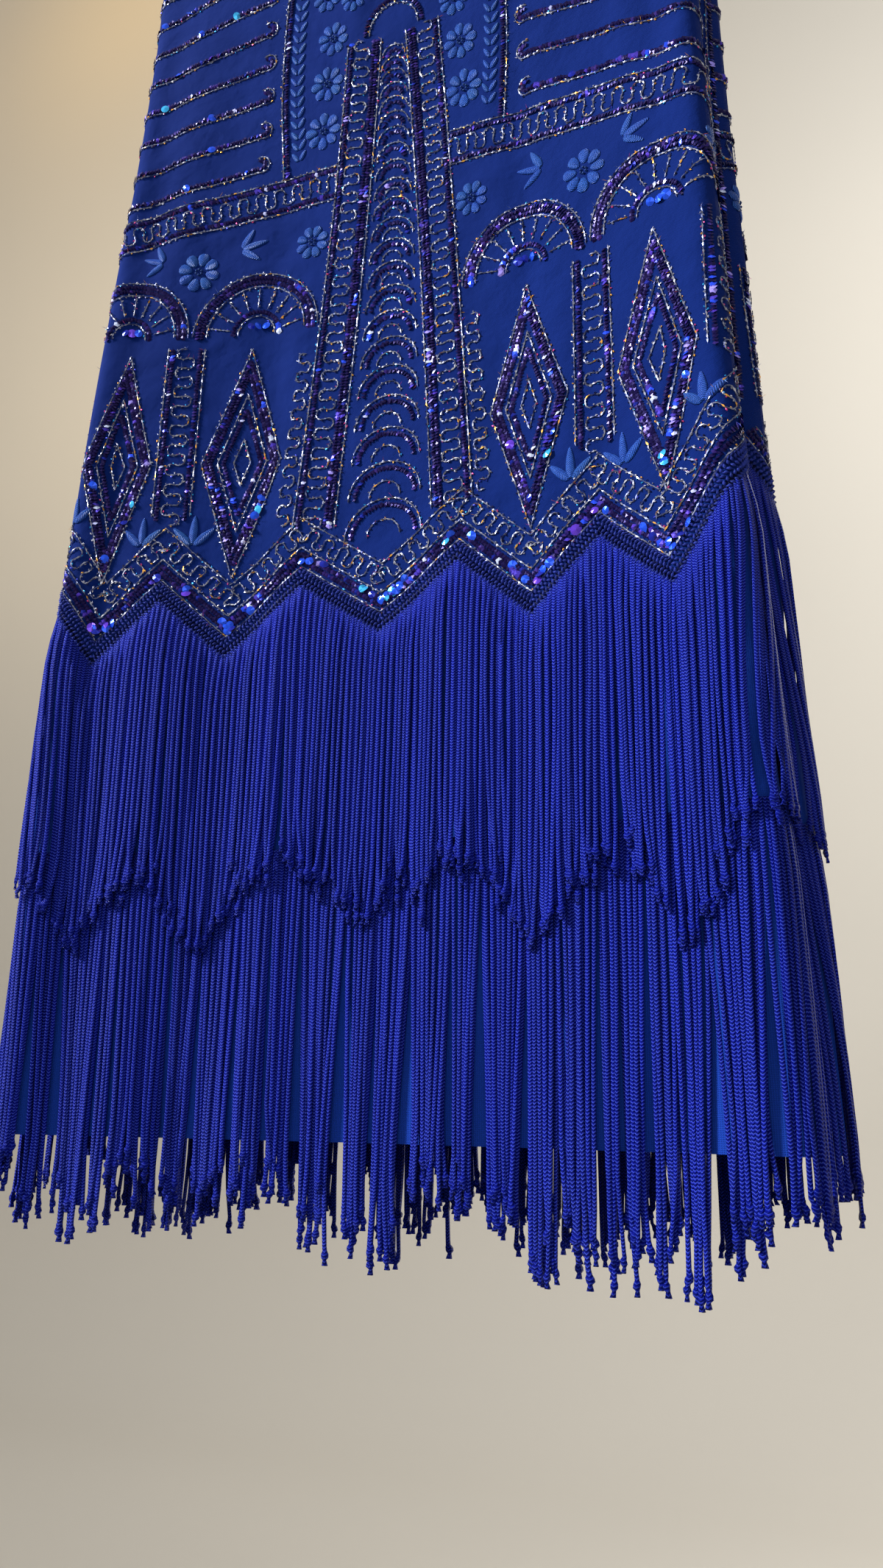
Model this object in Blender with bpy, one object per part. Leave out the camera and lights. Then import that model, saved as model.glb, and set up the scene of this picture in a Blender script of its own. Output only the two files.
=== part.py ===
"""A sleeveless fringed evening dress that hangs on a plain hanger.

Metres, +Z up. The origin is where the hook hangs, under the top of its bend. The front of
the dress faces -Y. The dress is an open tube of two cloth layers, each with a front and a
back panel, and two tiers of hanging fringe.
"""
from collections import namedtuple
import math

import bmesh
import bpy
import numpy as np
from mathutils import Vector

# Driving heights, measured down from the hook
TIP_Z = -0.860            # lowest points of the zigzag hem, under its braid
HEM_Z = -1.135            # straight hem of the inner layer
TIER_TOP_Z = -0.978       # top of the lower fringe's heading
BODICE_Z = -0.310         # level line just under the armholes
STRAND_LENGTH = 0.178     # hanging length of the upper fringe
LOWEST_Z = -1.200         # just under the longest lock

# Cloth
WALL = 0.0012             # thickness of each cloth layer
SEAM_GAP = 0.0003         # between two pieces that are sewn together
BRAID_HEIGHT = 0.010      # crocheted braid that carries the upper fringe
BRAID_GAP = 0.0009        # between the braid and the slanting edge over it
HEADING_HEIGHT = 0.008    # heading that carries the lower fringe
HEADING_CLEAR = 0.0005    # from a heading to the cloth behind it
HEADING_THICK = 0.0018

# Hanger
ARM_RISE_Z = -0.093       # middle of the arms at the neck
ARM_SLOPE = 0.36          # how far the arms fall for each metre outwards
ARM_REACH = 0.172
ARM_HALF_DEPTH = 0.006
ARM_HALF_HEIGHT = 0.009
NECK_ROUND = 0.012        # how softly the two arms meet
NECK_BLEND = 0.09         # the arms are straight from here outwards
WIRE_RADIUS = 0.002
HOOK_RADIUS = 0.018       # middle of the wire
ARM_STATIONS = 19
ARM_SIDES = 12
WIRE_SIDES = 10
HOOK_START = 200          # degrees, the free end of the bend, counted from +X
HOOK_SWEEP = 245          # degrees of the bend
HOOK_STEPS = 14
SHANK_DROP = 0.016        # from the end of the bend to the straight shank

# Level sections of the dress. left and right are half widths. The front is hollow in the
# middle (centre), comes forward to a soft ridge below each shoulder (ridge), and turns back
# into a valley at the side seam (valley_x of the half width, valley_y), before it rounds the
# back ridge (back_x of the half width, back_y) to the back (back).
Level = namedtuple("Level", "z left right centre middle ridge valley_x valley_y back_x back_y back")
LEVELS = [
    Level(-0.100, 0.206, 0.206, 0.010, 0.010, 0.009, 1.000, 0.000, 0.955, 0.009, 0.010),
    Level(-0.200, 0.200, 0.204, 0.025, 0.024, 0.018, 1.000, 0.001, 0.955, 0.010, 0.015),
    Level(-0.310, 0.194, 0.200, 0.036, 0.037, 0.030, 0.990, 0.002, 0.975, 0.013, 0.020),
    Level(-0.400, 0.189, 0.200, 0.029, 0.032, 0.038, 0.970, 0.006, 1.000, 0.012, 0.022),
    Level(-0.500, 0.190, 0.203, 0.021, 0.027, 0.043, 0.945, 0.008, 1.000, 0.012, 0.024),
    Level(-0.620, 0.196, 0.208, 0.015, 0.024, 0.047, 0.932, 0.009, 1.000, 0.012, 0.026),
    Level(-0.740, 0.202, 0.213, 0.013, 0.023, 0.049, 0.925, 0.010, 1.000, 0.012, 0.027),
    Level(-0.900, 0.207, 0.220, 0.012, 0.024, 0.049, 0.930, 0.008, 1.000, 0.013, 0.028),
    Level(-1.020, 0.207, 0.227, 0.012, 0.024, 0.049, 0.935, 0.007, 1.000, 0.014, 0.028),
    Level(HEM_Z, 0.207, 0.232, 0.012, 0.024, 0.048, 0.940, 0.006, 1.000, 0.014, 0.028),
    Level(LOWEST_Z, 0.207, 0.234, 0.012, 0.024, 0.047, 0.940, 0.006, 1.000, 0.014, 0.028),
]
RIDGE_X = 0.955           # ridge, as a part of the half width
SHOULDER_X = 0.83         # where the front starts to come forward to the ridge
RIPPLE_TOP_Z = -0.60      # soft upright folds start here and deepen to the hem
RIPPLE_DEPTH = 0.0030
RIPPLE_WAVES = 3.5        # in half a panel
TWIST = 0.024             # how far the hanging cloth has slipped round to -X, in u
SPLINE_STEPS = 14         # between two corners of a section
SEAM_CORNER = 4           # the section's corner at the side seam, counted from the front middle

# Columns of a panel, from its middle (u = 0) to the side seam (u = 1). Each row is a corner
# of the zigzag hem: its u, its rise over the tips, and the spans up to it from the last one.
Corner = namedtuple("Corner", "u rise spans")
ZIGZAG = [
    Corner(0.000, 0.000, 0),
    Corner(0.200, 0.034, 3),
    Corner(0.385, -0.007, 3),
    Corner(0.550, 0.030, 2),
    Corner(0.710, -0.010, 2),
    Corner(1.000, 0.085, 5),
]

# Upper edge of a panel: neckline, strap, armhole. front and back are heights.
Edge = namedtuple("Edge", "u front back")
STRAP_IN = 0.385
STRAP_OUT = 0.550
NECKLINE = [
    Edge(0.000, -0.226, -0.186),
    Edge(0.133, -0.219, -0.181),
    Edge(0.262, -0.197, -0.168),
    Edge(0.323, -0.181, -0.163),
    Edge(STRAP_IN, -0.160, -0.157),
]
ARMHOLE = [
    Edge(STRAP_OUT, -0.172, -0.172),
    Edge(0.630, -0.230, -0.230),
    Edge(0.710, -0.262, -0.262),
    Edge(0.830, -0.288, -0.288),
    Edge(1.000, -0.298, -0.298),
]
STRAP_TOP = ARM_HALF_HEIGHT * math.hypot(1.0, ARM_SLOPE) + 0.0019    # over the arm's middle
STRAP_DEPTH = ARM_HALF_DEPTH + 0.0022     # beside the arm
# Rows over the bodice line, as parts of the way to the upper edge
BODICE_ROWS = [0.30, 0.58, 0.82, 1.0]
# Rows of a strap, which rises from the upper edge and ends at the shoulder seam, over the arm:
# drop under its top, depth as a part of STRAP_DEPTH, and how far its outside tips upwards
Wrap = namedtuple("Wrap", "drop depth tilt")
STRAP_ROWS = [
    Wrap(0.0220, 1.08, 5),
    Wrap(0.0110, 1.00, 15),
    Wrap(0.0028, 0.72, 45),
    Wrap(0.0000, 0.00, 90),
]
BODY_ROWS = [-0.400, -0.500, -0.620, -0.740]

# Fringe: a lock is one bunch of strands. Two locks hang from each span of a heading.
LOCKS_PER_SPAN = 2
LOCK_SHARE = 0.43         # of a span, for each lock
LOCK_TAPER = 0.80         # width at the end
Hang = namedtuple("Hang", "middle_z inner outer end_inner end_outer")
UPPER_HANG = Hang(-0.935, 0.0034, 0.0058, 0.0039, 0.0063)
LOWER_HANG = Hang(-1.070, 0.0006, 0.0028, 0.0009, 0.0028)
LOWER_END_Z = -1.176
GROUP_DEPTH = 0.012       # how much lower the middle strands of a group hang
GROUP_SIZE = 7
RAGGED = 0.004            # unevenness of the ends, a sine of the lock's number
RAGGED_STEP = 12.99

Colour = namedtuple("Colour", "red green blue roughness metallic")
OVERLAY_BLUE = Colour(0.012, 0.033, 0.21, 0.6, 0.0)
LINING_BLUE = Colour(0.008, 0.024, 0.15, 0.55, 0.0)
FRINGE_BLUE = Colour(0.010, 0.018, 0.17, 0.4, 0.0)
HANGER_GREY = Colour(0.62, 0.60, 0.57, 0.5, 0.0)
WIRE_STEEL = Colour(0.60, 0.60, 0.60, 0.3, 1.0)


def clear_scene():
    for item in list(bpy.data.objects):
        bpy.data.objects.remove(item, do_unlink=True)


def paint(item, colour):
    material = bpy.data.materials.new(item.name)
    material.use_nodes = True
    shader = material.node_tree.nodes["Principled BSDF"]
    shader.inputs["Base Color"].default_value = (colour.red, colour.green, colour.blue, 1.0)
    shader.inputs["Roughness"].default_value = colour.roughness
    shader.inputs["Metallic"].default_value = colour.metallic
    item.data.materials.append(material)


def add_object(name, points, faces, colour):
    """Make one object from points and triangles or quads."""
    mesh = bpy.data.meshes.new(name)
    mesh.from_pydata([tuple(point) for point in points], [], faces)
    mesh.validate()
    shape = bmesh.new()
    shape.from_mesh(mesh)
    bmesh.ops.recalc_face_normals(shape, faces=shape.faces)
    if shape.calc_volume(signed=True) < 0:
        bmesh.ops.reverse_faces(shape, faces=shape.faces)
    shape.to_mesh(mesh)
    shape.free()
    item = bpy.data.objects.new(name, mesh)
    bpy.context.collection.objects.link(item)
    paint(item, colour)
    return item


# Form of the dress

def level_at(z):
    """Sizes of the section at a height, between two rows of the table."""
    heights = [level.z for level in LEVELS]
    z = min(max(z, heights[-1]), heights[0])
    columns = zip(*LEVELS)
    return Level(*[np.interp(-z, [-height for height in heights], column) for column in columns])


def section(z, side):
    """Outline of one half of the section, front middle to back middle, and its seam index."""
    level = level_at(z)
    half = level.right if side > 0 else level.left
    shoulder = level.middle + 0.7 * (level.ridge - level.middle)
    corners = [
        (0.0, -level.centre),
        (0.50 * half, -level.middle),
        (SHOULDER_X * half, -shoulder),
        (RIDGE_X * half, -level.ridge * 0.97),
        (level.valley_x * half, -level.valley_y),
        (level.back_x * half, level.back_y),
        (0.90 * half, level.back * 0.97),
        (0.50 * half, level.back),
        (0.0, level.back),
    ]
    mirrored = [(-corners[1][0], corners[1][1])] + corners + [(-corners[-2][0], corners[-2][1])]
    points = []
    seam = 0
    for index in range(1, len(mirrored) - 2):
        before, start, end, after = [np.array(p) for p in mirrored[index - 1:index + 3]]
        chord = np.linalg.norm(end - start)
        leave = (end - before) / np.linalg.norm(end - before) * chord
        arrive = (after - start) / np.linalg.norm(after - start) * chord
        for step in range(SPLINE_STEPS):
            t = step / SPLINE_STEPS
            points.append(
                (2 * t**3 - 3 * t**2 + 1) * start + (t**3 - 2 * t**2 + t) * leave
                + (3 * t**2 - 2 * t**3) * end + (t**3 - t**2) * arrive)
        if index == SEAM_CORNER:
            seam = len(points)
    points.append(np.array(corners[-1]))
    return np.array(points), seam


def ripple(u, z, side, back):
    """Soft upright folds, deeper towards the hem, flat at the middle and at the side seam."""
    depth = RIPPLE_DEPTH * min(max((RIPPLE_TOP_Z - z) / (RIPPLE_TOP_Z - HEM_Z), 0.0), 1.0)
    phase = 0.4 * side + (0.9 if back else 0.0)
    fade = min(u * 4.0, 1.0) * min((1.0 - u) * 3.0, 1.0)
    return depth * fade * math.sin(2 * math.pi * RIPPLE_WAVES * u + phase)


def cloth_point(u, z, side, back):
    """A point of the cloth's middle surface, u of the way from panel middle to side seam."""
    outline, seam = section(z, side)
    run = outline[seam:][::-1] if back else outline[:seam + 1]
    lengths = np.concatenate([[0.0], np.cumsum(np.linalg.norm(np.diff(run, axis=0), axis=1))])
    along = (u - side * TWIST * math.sin(math.pi * u**1.6)) * lengths[-1]
    x = np.interp(along, lengths, run[:, 0])
    y = np.interp(along, lengths, run[:, 1])
    y += ripple(u, z, side, back)
    return Vector((side * x, y, z))


def panel_columns():
    """u of each column and the zigzag's rise there, for half a panel."""
    columns = [(ZIGZAG[0].u, ZIGZAG[0].rise)]
    for last, corner in zip(ZIGZAG, ZIGZAG[1:]):
        for step in range(1, corner.spans + 1):
            t = step / corner.spans
            columns.append((last.u + t * (corner.u - last.u), last.rise + t * (corner.rise - last.rise)))
    return columns


def upper_edge(u, back):
    """Height of the neckline or armhole at u. A strap's own top follows the hanger."""
    table = NECKLINE if u <= STRAP_IN + 1e-6 else ARMHOLE
    heights = [edge.back if back else edge.front for edge in table]
    return float(np.interp(u, [edge.u for edge in table], heights))


def column_heights(u, rise, back):
    """Heights of a column's rows, from LOWEST_Z up, with the row of the overlay's hem."""
    hem = TIP_Z + rise + BRAID_HEIGHT
    lower = [LOWEST_Z, HEM_Z, -1.020, -0.900]
    body = [hem, 0.5 * (hem + BODY_ROWS[-1])] + BODY_ROWS[::-1] + [BODICE_Z]
    top = upper_edge(u, back)
    bodice = [BODICE_Z + part * (top - BODICE_Z) for part in BODICE_ROWS]
    return lower + body + bodice


OVERLAY_START = 4         # row of the overlay's hem in column_heights
LINING_START = 1          # row of the lining's hem


def is_strap(u):
    return STRAP_IN - 1e-6 <= u <= STRAP_OUT + 1e-6


def strap_points(x, back):
    """Points and outward directions of one column of a strap, upwards."""
    facing = 1.0 if back else -1.0
    top = ARM_RISE_Z - ARM_SLOPE * abs(x) + STRAP_TOP
    points = []
    normals = []
    for row in STRAP_ROWS:
        tilt = math.radians(row.tilt)
        points.append((x, facing * max(STRAP_DEPTH * row.depth, 0.5 * SEAM_GAP), top - row.drop))
        normals.append((0.0, facing * math.cos(tilt), math.sin(tilt)))
    return points, normals


def make_grid(back):
    """Cloth points and outward normals of a panel, column by column from -X to +X.

    Only the columns of the straps have the last rows. The rest are left empty there.
    """
    half = panel_columns()
    signed = [(-1, u, rise) for u, rise in half[:0:-1]] + [(1, u, rise) for u, rise in half]
    columns = []
    for side, u, rise in signed:
        heights = column_heights(u, rise, back)
        columns.append([tuple(cloth_point(u, z, side, back)) for z in heights])
    points = np.array(columns)
    normals = np.cross(np.gradient(points, axis=0), np.gradient(points, axis=1))
    level_rows = points[:, :, 2] <= BODICE_Z + 1e-6
    normals[level_rows, 2] = 0.0
    normals /= np.linalg.norm(normals, axis=2)[:, :, None]
    if back:
        normals = -normals
    extra = np.full((len(signed), len(STRAP_ROWS), 3), np.nan)
    extra_normals = extra.copy()
    for index, (side, u, rise) in enumerate(signed):
        if is_strap(u):
            extra[index], extra_normals[index] = strap_points(points[index, -1, 0], back)
    return np.concatenate([points, extra], axis=1), np.concatenate([normals, extra_normals], axis=1)


def seam_inset(points):
    """Keep half a seam's gap free between the front and the back panel."""
    moved = points.copy()
    for index, towards in ((0, 1), (-1, -2)):
        step = moved[towards] - moved[index]
        moved[index] += step / np.linalg.norm(step, axis=1)[:, None] * 0.5 * SEAM_GAP
    return moved


def make_wall(name, points, normals, inner, outer, colour):
    """A cloth panel as a closed wall between two offsets of its grid."""
    count, rows = points.shape[:2]
    filled = ~np.isnan(points[:, :, 0])
    numbers = np.full((count, rows), -1)
    numbers[filled] = range(filled.sum())
    near = (points + normals * inner)[filled]
    far = (points + normals * outer)[filled]
    shift = len(near)
    faces = []
    rim = {}
    for column in range(count - 1):
        for row in range(rows - 1):
            a, b = numbers[column, row], numbers[column + 1, row]
            c, d = numbers[column + 1, row + 1], numbers[column, row + 1]
            if min(a, b, c, d) < 0:
                continue
            for layer in (0, shift):
                faces += [(a + layer, b + layer, c + layer), (a + layer, c + layer, d + layer)]
            for edge in ((a, b), (b, c), (c, d), (d, a)):
                if edge[::-1] in rim:
                    del rim[edge[::-1]]
                else:
                    rim[edge] = True
    for a, b in rim:
        faces += [(a, b, b + shift), (a, b + shift, a + shift)]
    faces = [tuple(int(corner) for corner in face) for face in faces]
    return add_object(name, list(near) + list(far), faces, colour)


def share_seam_normals(front, back):
    """Give both panels the same outward direction along a side seam."""
    for index in (0, -1):
        shared = front[1][index] + back[1][index]
        shared /= np.linalg.norm(shared, axis=1)[:, None]
        front[1][index] = shared
        back[1][index] = shared


def make_panels():
    grids = {"front": make_grid(False), "back": make_grid(True)}
    share_seam_normals(grids["front"], grids["back"])
    for label, (points, normals) in grids.items():
        inset = seam_inset(points)
        over = slice(OVERLAY_START, None)
        under = slice(LINING_START, None)
        make_wall("overlay_" + label, inset[:, over], normals[:, over],
                  0.5 * SEAM_GAP, 0.5 * SEAM_GAP + WALL, OVERLAY_BLUE)
        make_wall("lining_" + label, inset[:, under], normals[:, under],
                  -0.5 * SEAM_GAP - WALL, -0.5 * SEAM_GAP, LINING_BLUE)
    return grids


# Fringe

def lay(grid, position, height, offset):
    """Point beside the faceted cloth, between two of its columns.

    position counts columns, height(column) is the height there, and offset is outwards.
    """
    points, normals = grid
    left = min(int(position), len(points) - 2)
    share = position - left
    found = []
    for column in (left, left + 1):
        z = height(column)
        heights = points[column][:, 2]
        rows = slice(0, OVERLAY_START + 3)
        place = [np.interp(z, heights[rows], points[column][rows, axis]) for axis in range(3)]
        out = [np.interp(z, heights[rows], normals[column][rows, axis]) for axis in range(3)]
        place[2] = z
        found.append(np.array(place) + np.array(out) * offset)
    return found[0] * (1 - share) + found[1] * share


def lock_end(number, base, deepest):
    """Height of a lock's end: groups hang lower in their middle, and each lock differs a bit."""
    place = (number % GROUP_SIZE) / (GROUP_SIZE - 1)
    group = GROUP_DEPTH * (1.0 - abs(2.0 * place - 1.0))
    uneven = RAGGED * math.sin(RAGGED_STEP * number)
    return max(base - group + uneven, deepest)


def make_fringe(name, grid, heading, hang, inner, end_base, deepest):
    """A heading strip and its locks, as one body.

    heading gives the heights of the strip's top and bottom, each as a function of the column.
    """
    top, bottom = heading
    outer = inner + HEADING_THICK
    spans = len(grid[0]) - 1
    edge = 0.5 * (1.0 - LOCKS_PER_SPAN * LOCK_SHARE) / LOCKS_PER_SPAN
    positions = [0.0 + edge]
    locks = []
    for number in range(spans * LOCKS_PER_SPAN):
        start = number / LOCKS_PER_SPAN + edge
        finish = start + LOCK_SHARE
        if number > 0:
            positions.append(start)
        positions.append(finish)
        locks.append((len(positions) - 2, start, finish, number))
    corners = []
    for position in positions:
        for edge_height, offset in ((top, inner), (top, outer), (bottom, outer), (bottom, inner)):
            corners.append(lay(grid, position, edge_height, offset))
    faces = []

    def ring_face(first, second, one, two):
        a, b = first + one, second + one
        c, d = second + two, first + two
        faces.extend([(a, b, c), (a, c, d)])

    lock_starts = {lock[0] for lock in locks}
    for index in range(len(positions) - 1):
        first, second = 4 * index, 4 * index + 4
        for one, two in ((0, 1), (1, 2), (3, 0)):
            ring_face(first, second, one, two)
        if index not in lock_starts:
            ring_face(first, second, 2, 3)
    last = 4 * (len(positions) - 1)
    faces += [(0, 1, 2), (0, 2, 3), (last, last + 1, last + 2), (last, last + 2, last + 3)]
    for index, start, finish, number in locks:
        middle = 0.5 * (start + finish)
        narrow = 0.5 * LOCK_TAPER * (finish - start)
        end_z = lock_end(number, end_base(middle), deepest)
        rings = [[4 * index + 2, 4 * index + 6, 4 * index + 7, 4 * index + 3]]
        for z, width, near, far in (
                (hang.middle_z, 0.5 * (finish - start), hang.inner, hang.outer),
                (end_z, narrow, hang.end_inner, hang.end_outer)):
            rings.append(range(len(corners), len(corners) + 4))
            for place, offset in (
                    (middle - width, far), (middle + width, far),
                    (middle + width, near), (middle - width, near)):
                corners.append(lay(grid, place, lambda column: z, offset))
        for upper, lower in zip(rings, rings[1:]):
            for corner in range(4):
                after = (corner + 1) % 4
                faces.append((upper[corner], upper[after], lower[after]))
                faces.append((upper[corner], lower[after], lower[corner]))
        end = rings[-1]
        faces += [(end[0], end[1], end[2]), (end[0], end[2], end[3])]
    return add_object(name, corners, faces, FRINGE_BLUE)


def make_fringes(grids):
    half = panel_columns()
    rises = [rise for u, rise in half[:0:-1]] + [rise for u, rise in half]

    def hem_height(position):
        return TIP_Z + float(np.interp(position, range(len(rises)), rises))

    braid = (lambda column: hem_height(column) + BRAID_HEIGHT - BRAID_GAP, hem_height)
    tape = (lambda column: TIER_TOP_Z, lambda column: TIER_TOP_Z - HEADING_HEIGHT)
    for label, grid in grids.items():
        make_fringe("fringe_upper_" + label, grid, braid, UPPER_HANG, HEADING_CLEAR,
                    lambda place: hem_height(place) - STRAND_LENGTH + 0.5 * GROUP_DEPTH, LOWEST_Z)
        make_fringe("fringe_lower_" + label, grid, tape, LOWER_HANG, HEADING_CLEAR,
                    lambda place: LOWER_END_Z, LOWEST_Z + 0.002)


# Hanger

def sweep(name, path, sides, half_depth, half_height, colour):
    """A rounded bar along a path in the XZ plane, closed at both ends."""
    corners = []
    for index, spot in enumerate(path):
        before = path[max(index - 1, 0)]
        after = path[min(index + 1, len(path) - 1)]
        along = (Vector(after) - Vector(before)).normalized()
        across = Vector((0.0, 1.0, 0.0))
        upward = along.cross(across)
        for side in range(sides):
            angle = 2 * math.pi * side / sides
            corners.append(
                Vector(spot) + across * (half_depth * math.cos(angle))
                + upward * (half_height * math.sin(angle)))
    faces = []
    for ring in range(len(path) - 1):
        for side in range(sides):
            a = ring * sides + side
            b = ring * sides + (side + 1) % sides
            faces.append((a, b, b + sides, a + sides))
    faces.append(tuple(range(sides)))
    faces.append(tuple(range(len(corners) - sides, len(corners))))
    item = add_object(name, corners, faces, colour)
    item.data.shade_smooth()
    item.data.set_sharp_from_angle(angle=math.radians(50))
    return item


def arm_height(x):
    """Middle of the arm at x, rounded over at the neck."""
    flat = NECK_ROUND * (1.0 - min(abs(x) / NECK_BLEND, 1.0))
    return ARM_RISE_Z - ARM_SLOPE * (math.hypot(x, NECK_ROUND) - flat)


def make_hanger():
    reach = [ARM_REACH * math.sin(math.pi * (step / (ARM_STATIONS - 1) - 0.5))
             for step in range(ARM_STATIONS)]
    sweep("hanger_body", [(x, 0.0, arm_height(x)) for x in reach], ARM_SIDES,
          ARM_HALF_DEPTH, ARM_HALF_HEIGHT, HANGER_GREY)


def make_hook():
    """Round bend over the origin, a reverse bend under it and a straight shank."""
    centre_z = WIRE_RADIUS - HOOK_RADIUS
    path = []
    for step in range(HOOK_STEPS + 1):
        angle = math.radians(HOOK_START - step * HOOK_SWEEP / HOOK_STEPS)
        path.append((HOOK_RADIUS * math.cos(angle), 0.0, centre_z + HOOK_RADIUS * math.sin(angle)))
    turn_x = path[-1][0]
    turn_z = path[-1][2]
    shank_top = turn_z - SHANK_DROP
    for part in (0.35, 0.7):
        ease = part * part * (3 - 2 * part)
        path.append((turn_x * (1 - ease), 0.0, turn_z + part * (shank_top - turn_z)))
    path.append((0.0, 0.0, shank_top))
    seat = arm_height(0.0) + ARM_HALF_HEIGHT + SEAM_GAP
    path.append((0.0, 0.0, 0.5 * (shank_top + seat)))
    path.append((0.0, 0.0, seat))
    sweep("hanger_hook", path, WIRE_SIDES, WIRE_RADIUS, WIRE_RADIUS, WIRE_STEEL)


def main():
    clear_scene()
    grids = make_panels()
    make_fringes(grids)
    make_hanger()
    make_hook()


main()
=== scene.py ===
"""Looks of a sleeveless fringed evening dress that hangs on a plain hanger.

Metres, +Z up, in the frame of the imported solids: the origin is where the hook hangs, and the
front of the dress faces -Y. Each cloth panel is described by its middle surface, and all that
is sewn on it is laid out in two flat coordinates: p, the distance from the panel's middle to
the right of someone who looks at it, and z, the height.
"""
from collections import namedtuple
import math

import bpy
import numpy as np
from mathutils import Matrix, Vector


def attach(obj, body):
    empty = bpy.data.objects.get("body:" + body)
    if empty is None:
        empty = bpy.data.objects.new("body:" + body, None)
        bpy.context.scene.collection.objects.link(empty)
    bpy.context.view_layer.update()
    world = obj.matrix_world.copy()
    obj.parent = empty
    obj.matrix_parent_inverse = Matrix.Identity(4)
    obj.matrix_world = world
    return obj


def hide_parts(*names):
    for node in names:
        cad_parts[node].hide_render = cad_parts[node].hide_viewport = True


bl_info = {
    "name": "Fringed Evening Dress",
    "version": (1, 0, 0),
    "blender": (4, 5, 0),
    "location": "View3D > Sidebar > Dress",
    "description": "Cloth, fringe, beadwork and stage of a dress on its hanger",
    "category": "Object",
}

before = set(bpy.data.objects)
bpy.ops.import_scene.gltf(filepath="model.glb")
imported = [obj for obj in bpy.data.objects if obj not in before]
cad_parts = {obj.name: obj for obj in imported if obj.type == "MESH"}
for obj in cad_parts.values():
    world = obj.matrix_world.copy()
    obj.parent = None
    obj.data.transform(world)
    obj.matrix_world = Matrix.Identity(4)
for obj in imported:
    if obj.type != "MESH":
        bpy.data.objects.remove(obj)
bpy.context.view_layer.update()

# Sizes that the solids have too
TIP_Z = -0.860
HEM_Z = -1.135
TIER_TOP_Z = -0.978
BODICE_Z = -0.310
LOWEST_Z = -1.200
BRAID_HEIGHT = 0.010
ARM_RISE_Z = -0.093
ARM_SLOPE = 0.36
ARM_HALF_DEPTH = 0.006
ARM_HALF_HEIGHT = 0.009

# Level sections: half widths to the left and right, the hollow front middle, the soft ridge
# below each shoulder, the valley at the side seam, the back ridge and the back
Level = namedtuple("Level", "z left right centre middle ridge valley_x valley_y back_x back_y back")
LEVELS = [
    Level(-0.100, 0.206, 0.206, 0.010, 0.010, 0.009, 1.000, 0.000, 0.955, 0.009, 0.010),
    Level(-0.200, 0.200, 0.204, 0.025, 0.024, 0.018, 1.000, 0.001, 0.955, 0.010, 0.015),
    Level(-0.310, 0.194, 0.200, 0.036, 0.037, 0.030, 0.990, 0.002, 0.975, 0.013, 0.020),
    Level(-0.400, 0.189, 0.200, 0.029, 0.032, 0.038, 0.970, 0.006, 1.000, 0.012, 0.022),
    Level(-0.500, 0.190, 0.203, 0.021, 0.027, 0.043, 0.945, 0.008, 1.000, 0.012, 0.024),
    Level(-0.620, 0.196, 0.208, 0.015, 0.024, 0.047, 0.932, 0.009, 1.000, 0.012, 0.026),
    Level(-0.740, 0.202, 0.213, 0.013, 0.023, 0.049, 0.925, 0.010, 1.000, 0.012, 0.027),
    Level(-0.900, 0.207, 0.220, 0.012, 0.024, 0.049, 0.930, 0.008, 1.000, 0.013, 0.028),
    Level(-1.020, 0.207, 0.227, 0.012, 0.024, 0.049, 0.935, 0.007, 1.000, 0.014, 0.028),
    Level(HEM_Z, 0.207, 0.232, 0.012, 0.024, 0.048, 0.940, 0.006, 1.000, 0.014, 0.028),
    Level(LOWEST_Z, 0.207, 0.234, 0.012, 0.024, 0.047, 0.940, 0.006, 1.000, 0.014, 0.028),
]
RIDGE_X = 0.955
SHOULDER_X = 0.83
RIPPLE_TOP_Z = -0.60
RIPPLE_DEPTH = 0.0030
RIPPLE_WAVES = 3.5
TWIST = 0.024
SPLINE_STEPS = 14
SEAM_CORNER = 4

# Zigzag hem: u from the panel's middle (0) to its side seam (1), and the rise over the tips
Corner = namedtuple("Corner", "u rise")
ZIGZAG = [
    Corner(0.000, 0.000), Corner(0.200, 0.034), Corner(0.385, -0.007),
    Corner(0.550, 0.030), Corner(0.710, -0.010), Corner(1.000, 0.085),
]
Edge = namedtuple("Edge", "u front back")
STRAP_IN = 0.385
STRAP_OUT = 0.550
NECKLINE = [
    Edge(0.000, -0.226, -0.186), Edge(0.133, -0.219, -0.181), Edge(0.262, -0.197, -0.168),
    Edge(0.323, -0.181, -0.163), Edge(STRAP_IN, -0.160, -0.157),
]
ARMHOLE = [
    Edge(STRAP_OUT, -0.172, -0.172), Edge(0.630, -0.230, -0.230), Edge(0.710, -0.262, -0.262),
    Edge(0.830, -0.288, -0.288), Edge(1.000, -0.298, -0.298),
]
STRAP_TOP = ARM_HALF_HEIGHT * math.hypot(1.0, ARM_SLOPE) + 0.0019
STRAP_DEPTH = ARM_HALF_DEPTH + 0.0022
STRAP_SEAM = 0.00015      # half the gap between front and back on top of the hanger's arm
STRAP_STEPS = 12
# How a strap wraps the arm: drop under its top, depth as a part of STRAP_DEPTH, tilt in degrees
Wrap = namedtuple("Wrap", "drop depth tilt")
STRAP_ROWS = [Wrap(0.0220, 1.08, 5), Wrap(0.0110, 1.00, 15), Wrap(0.0028, 0.72, 45), Wrap(0.0, 0.0, 90)]

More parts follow.
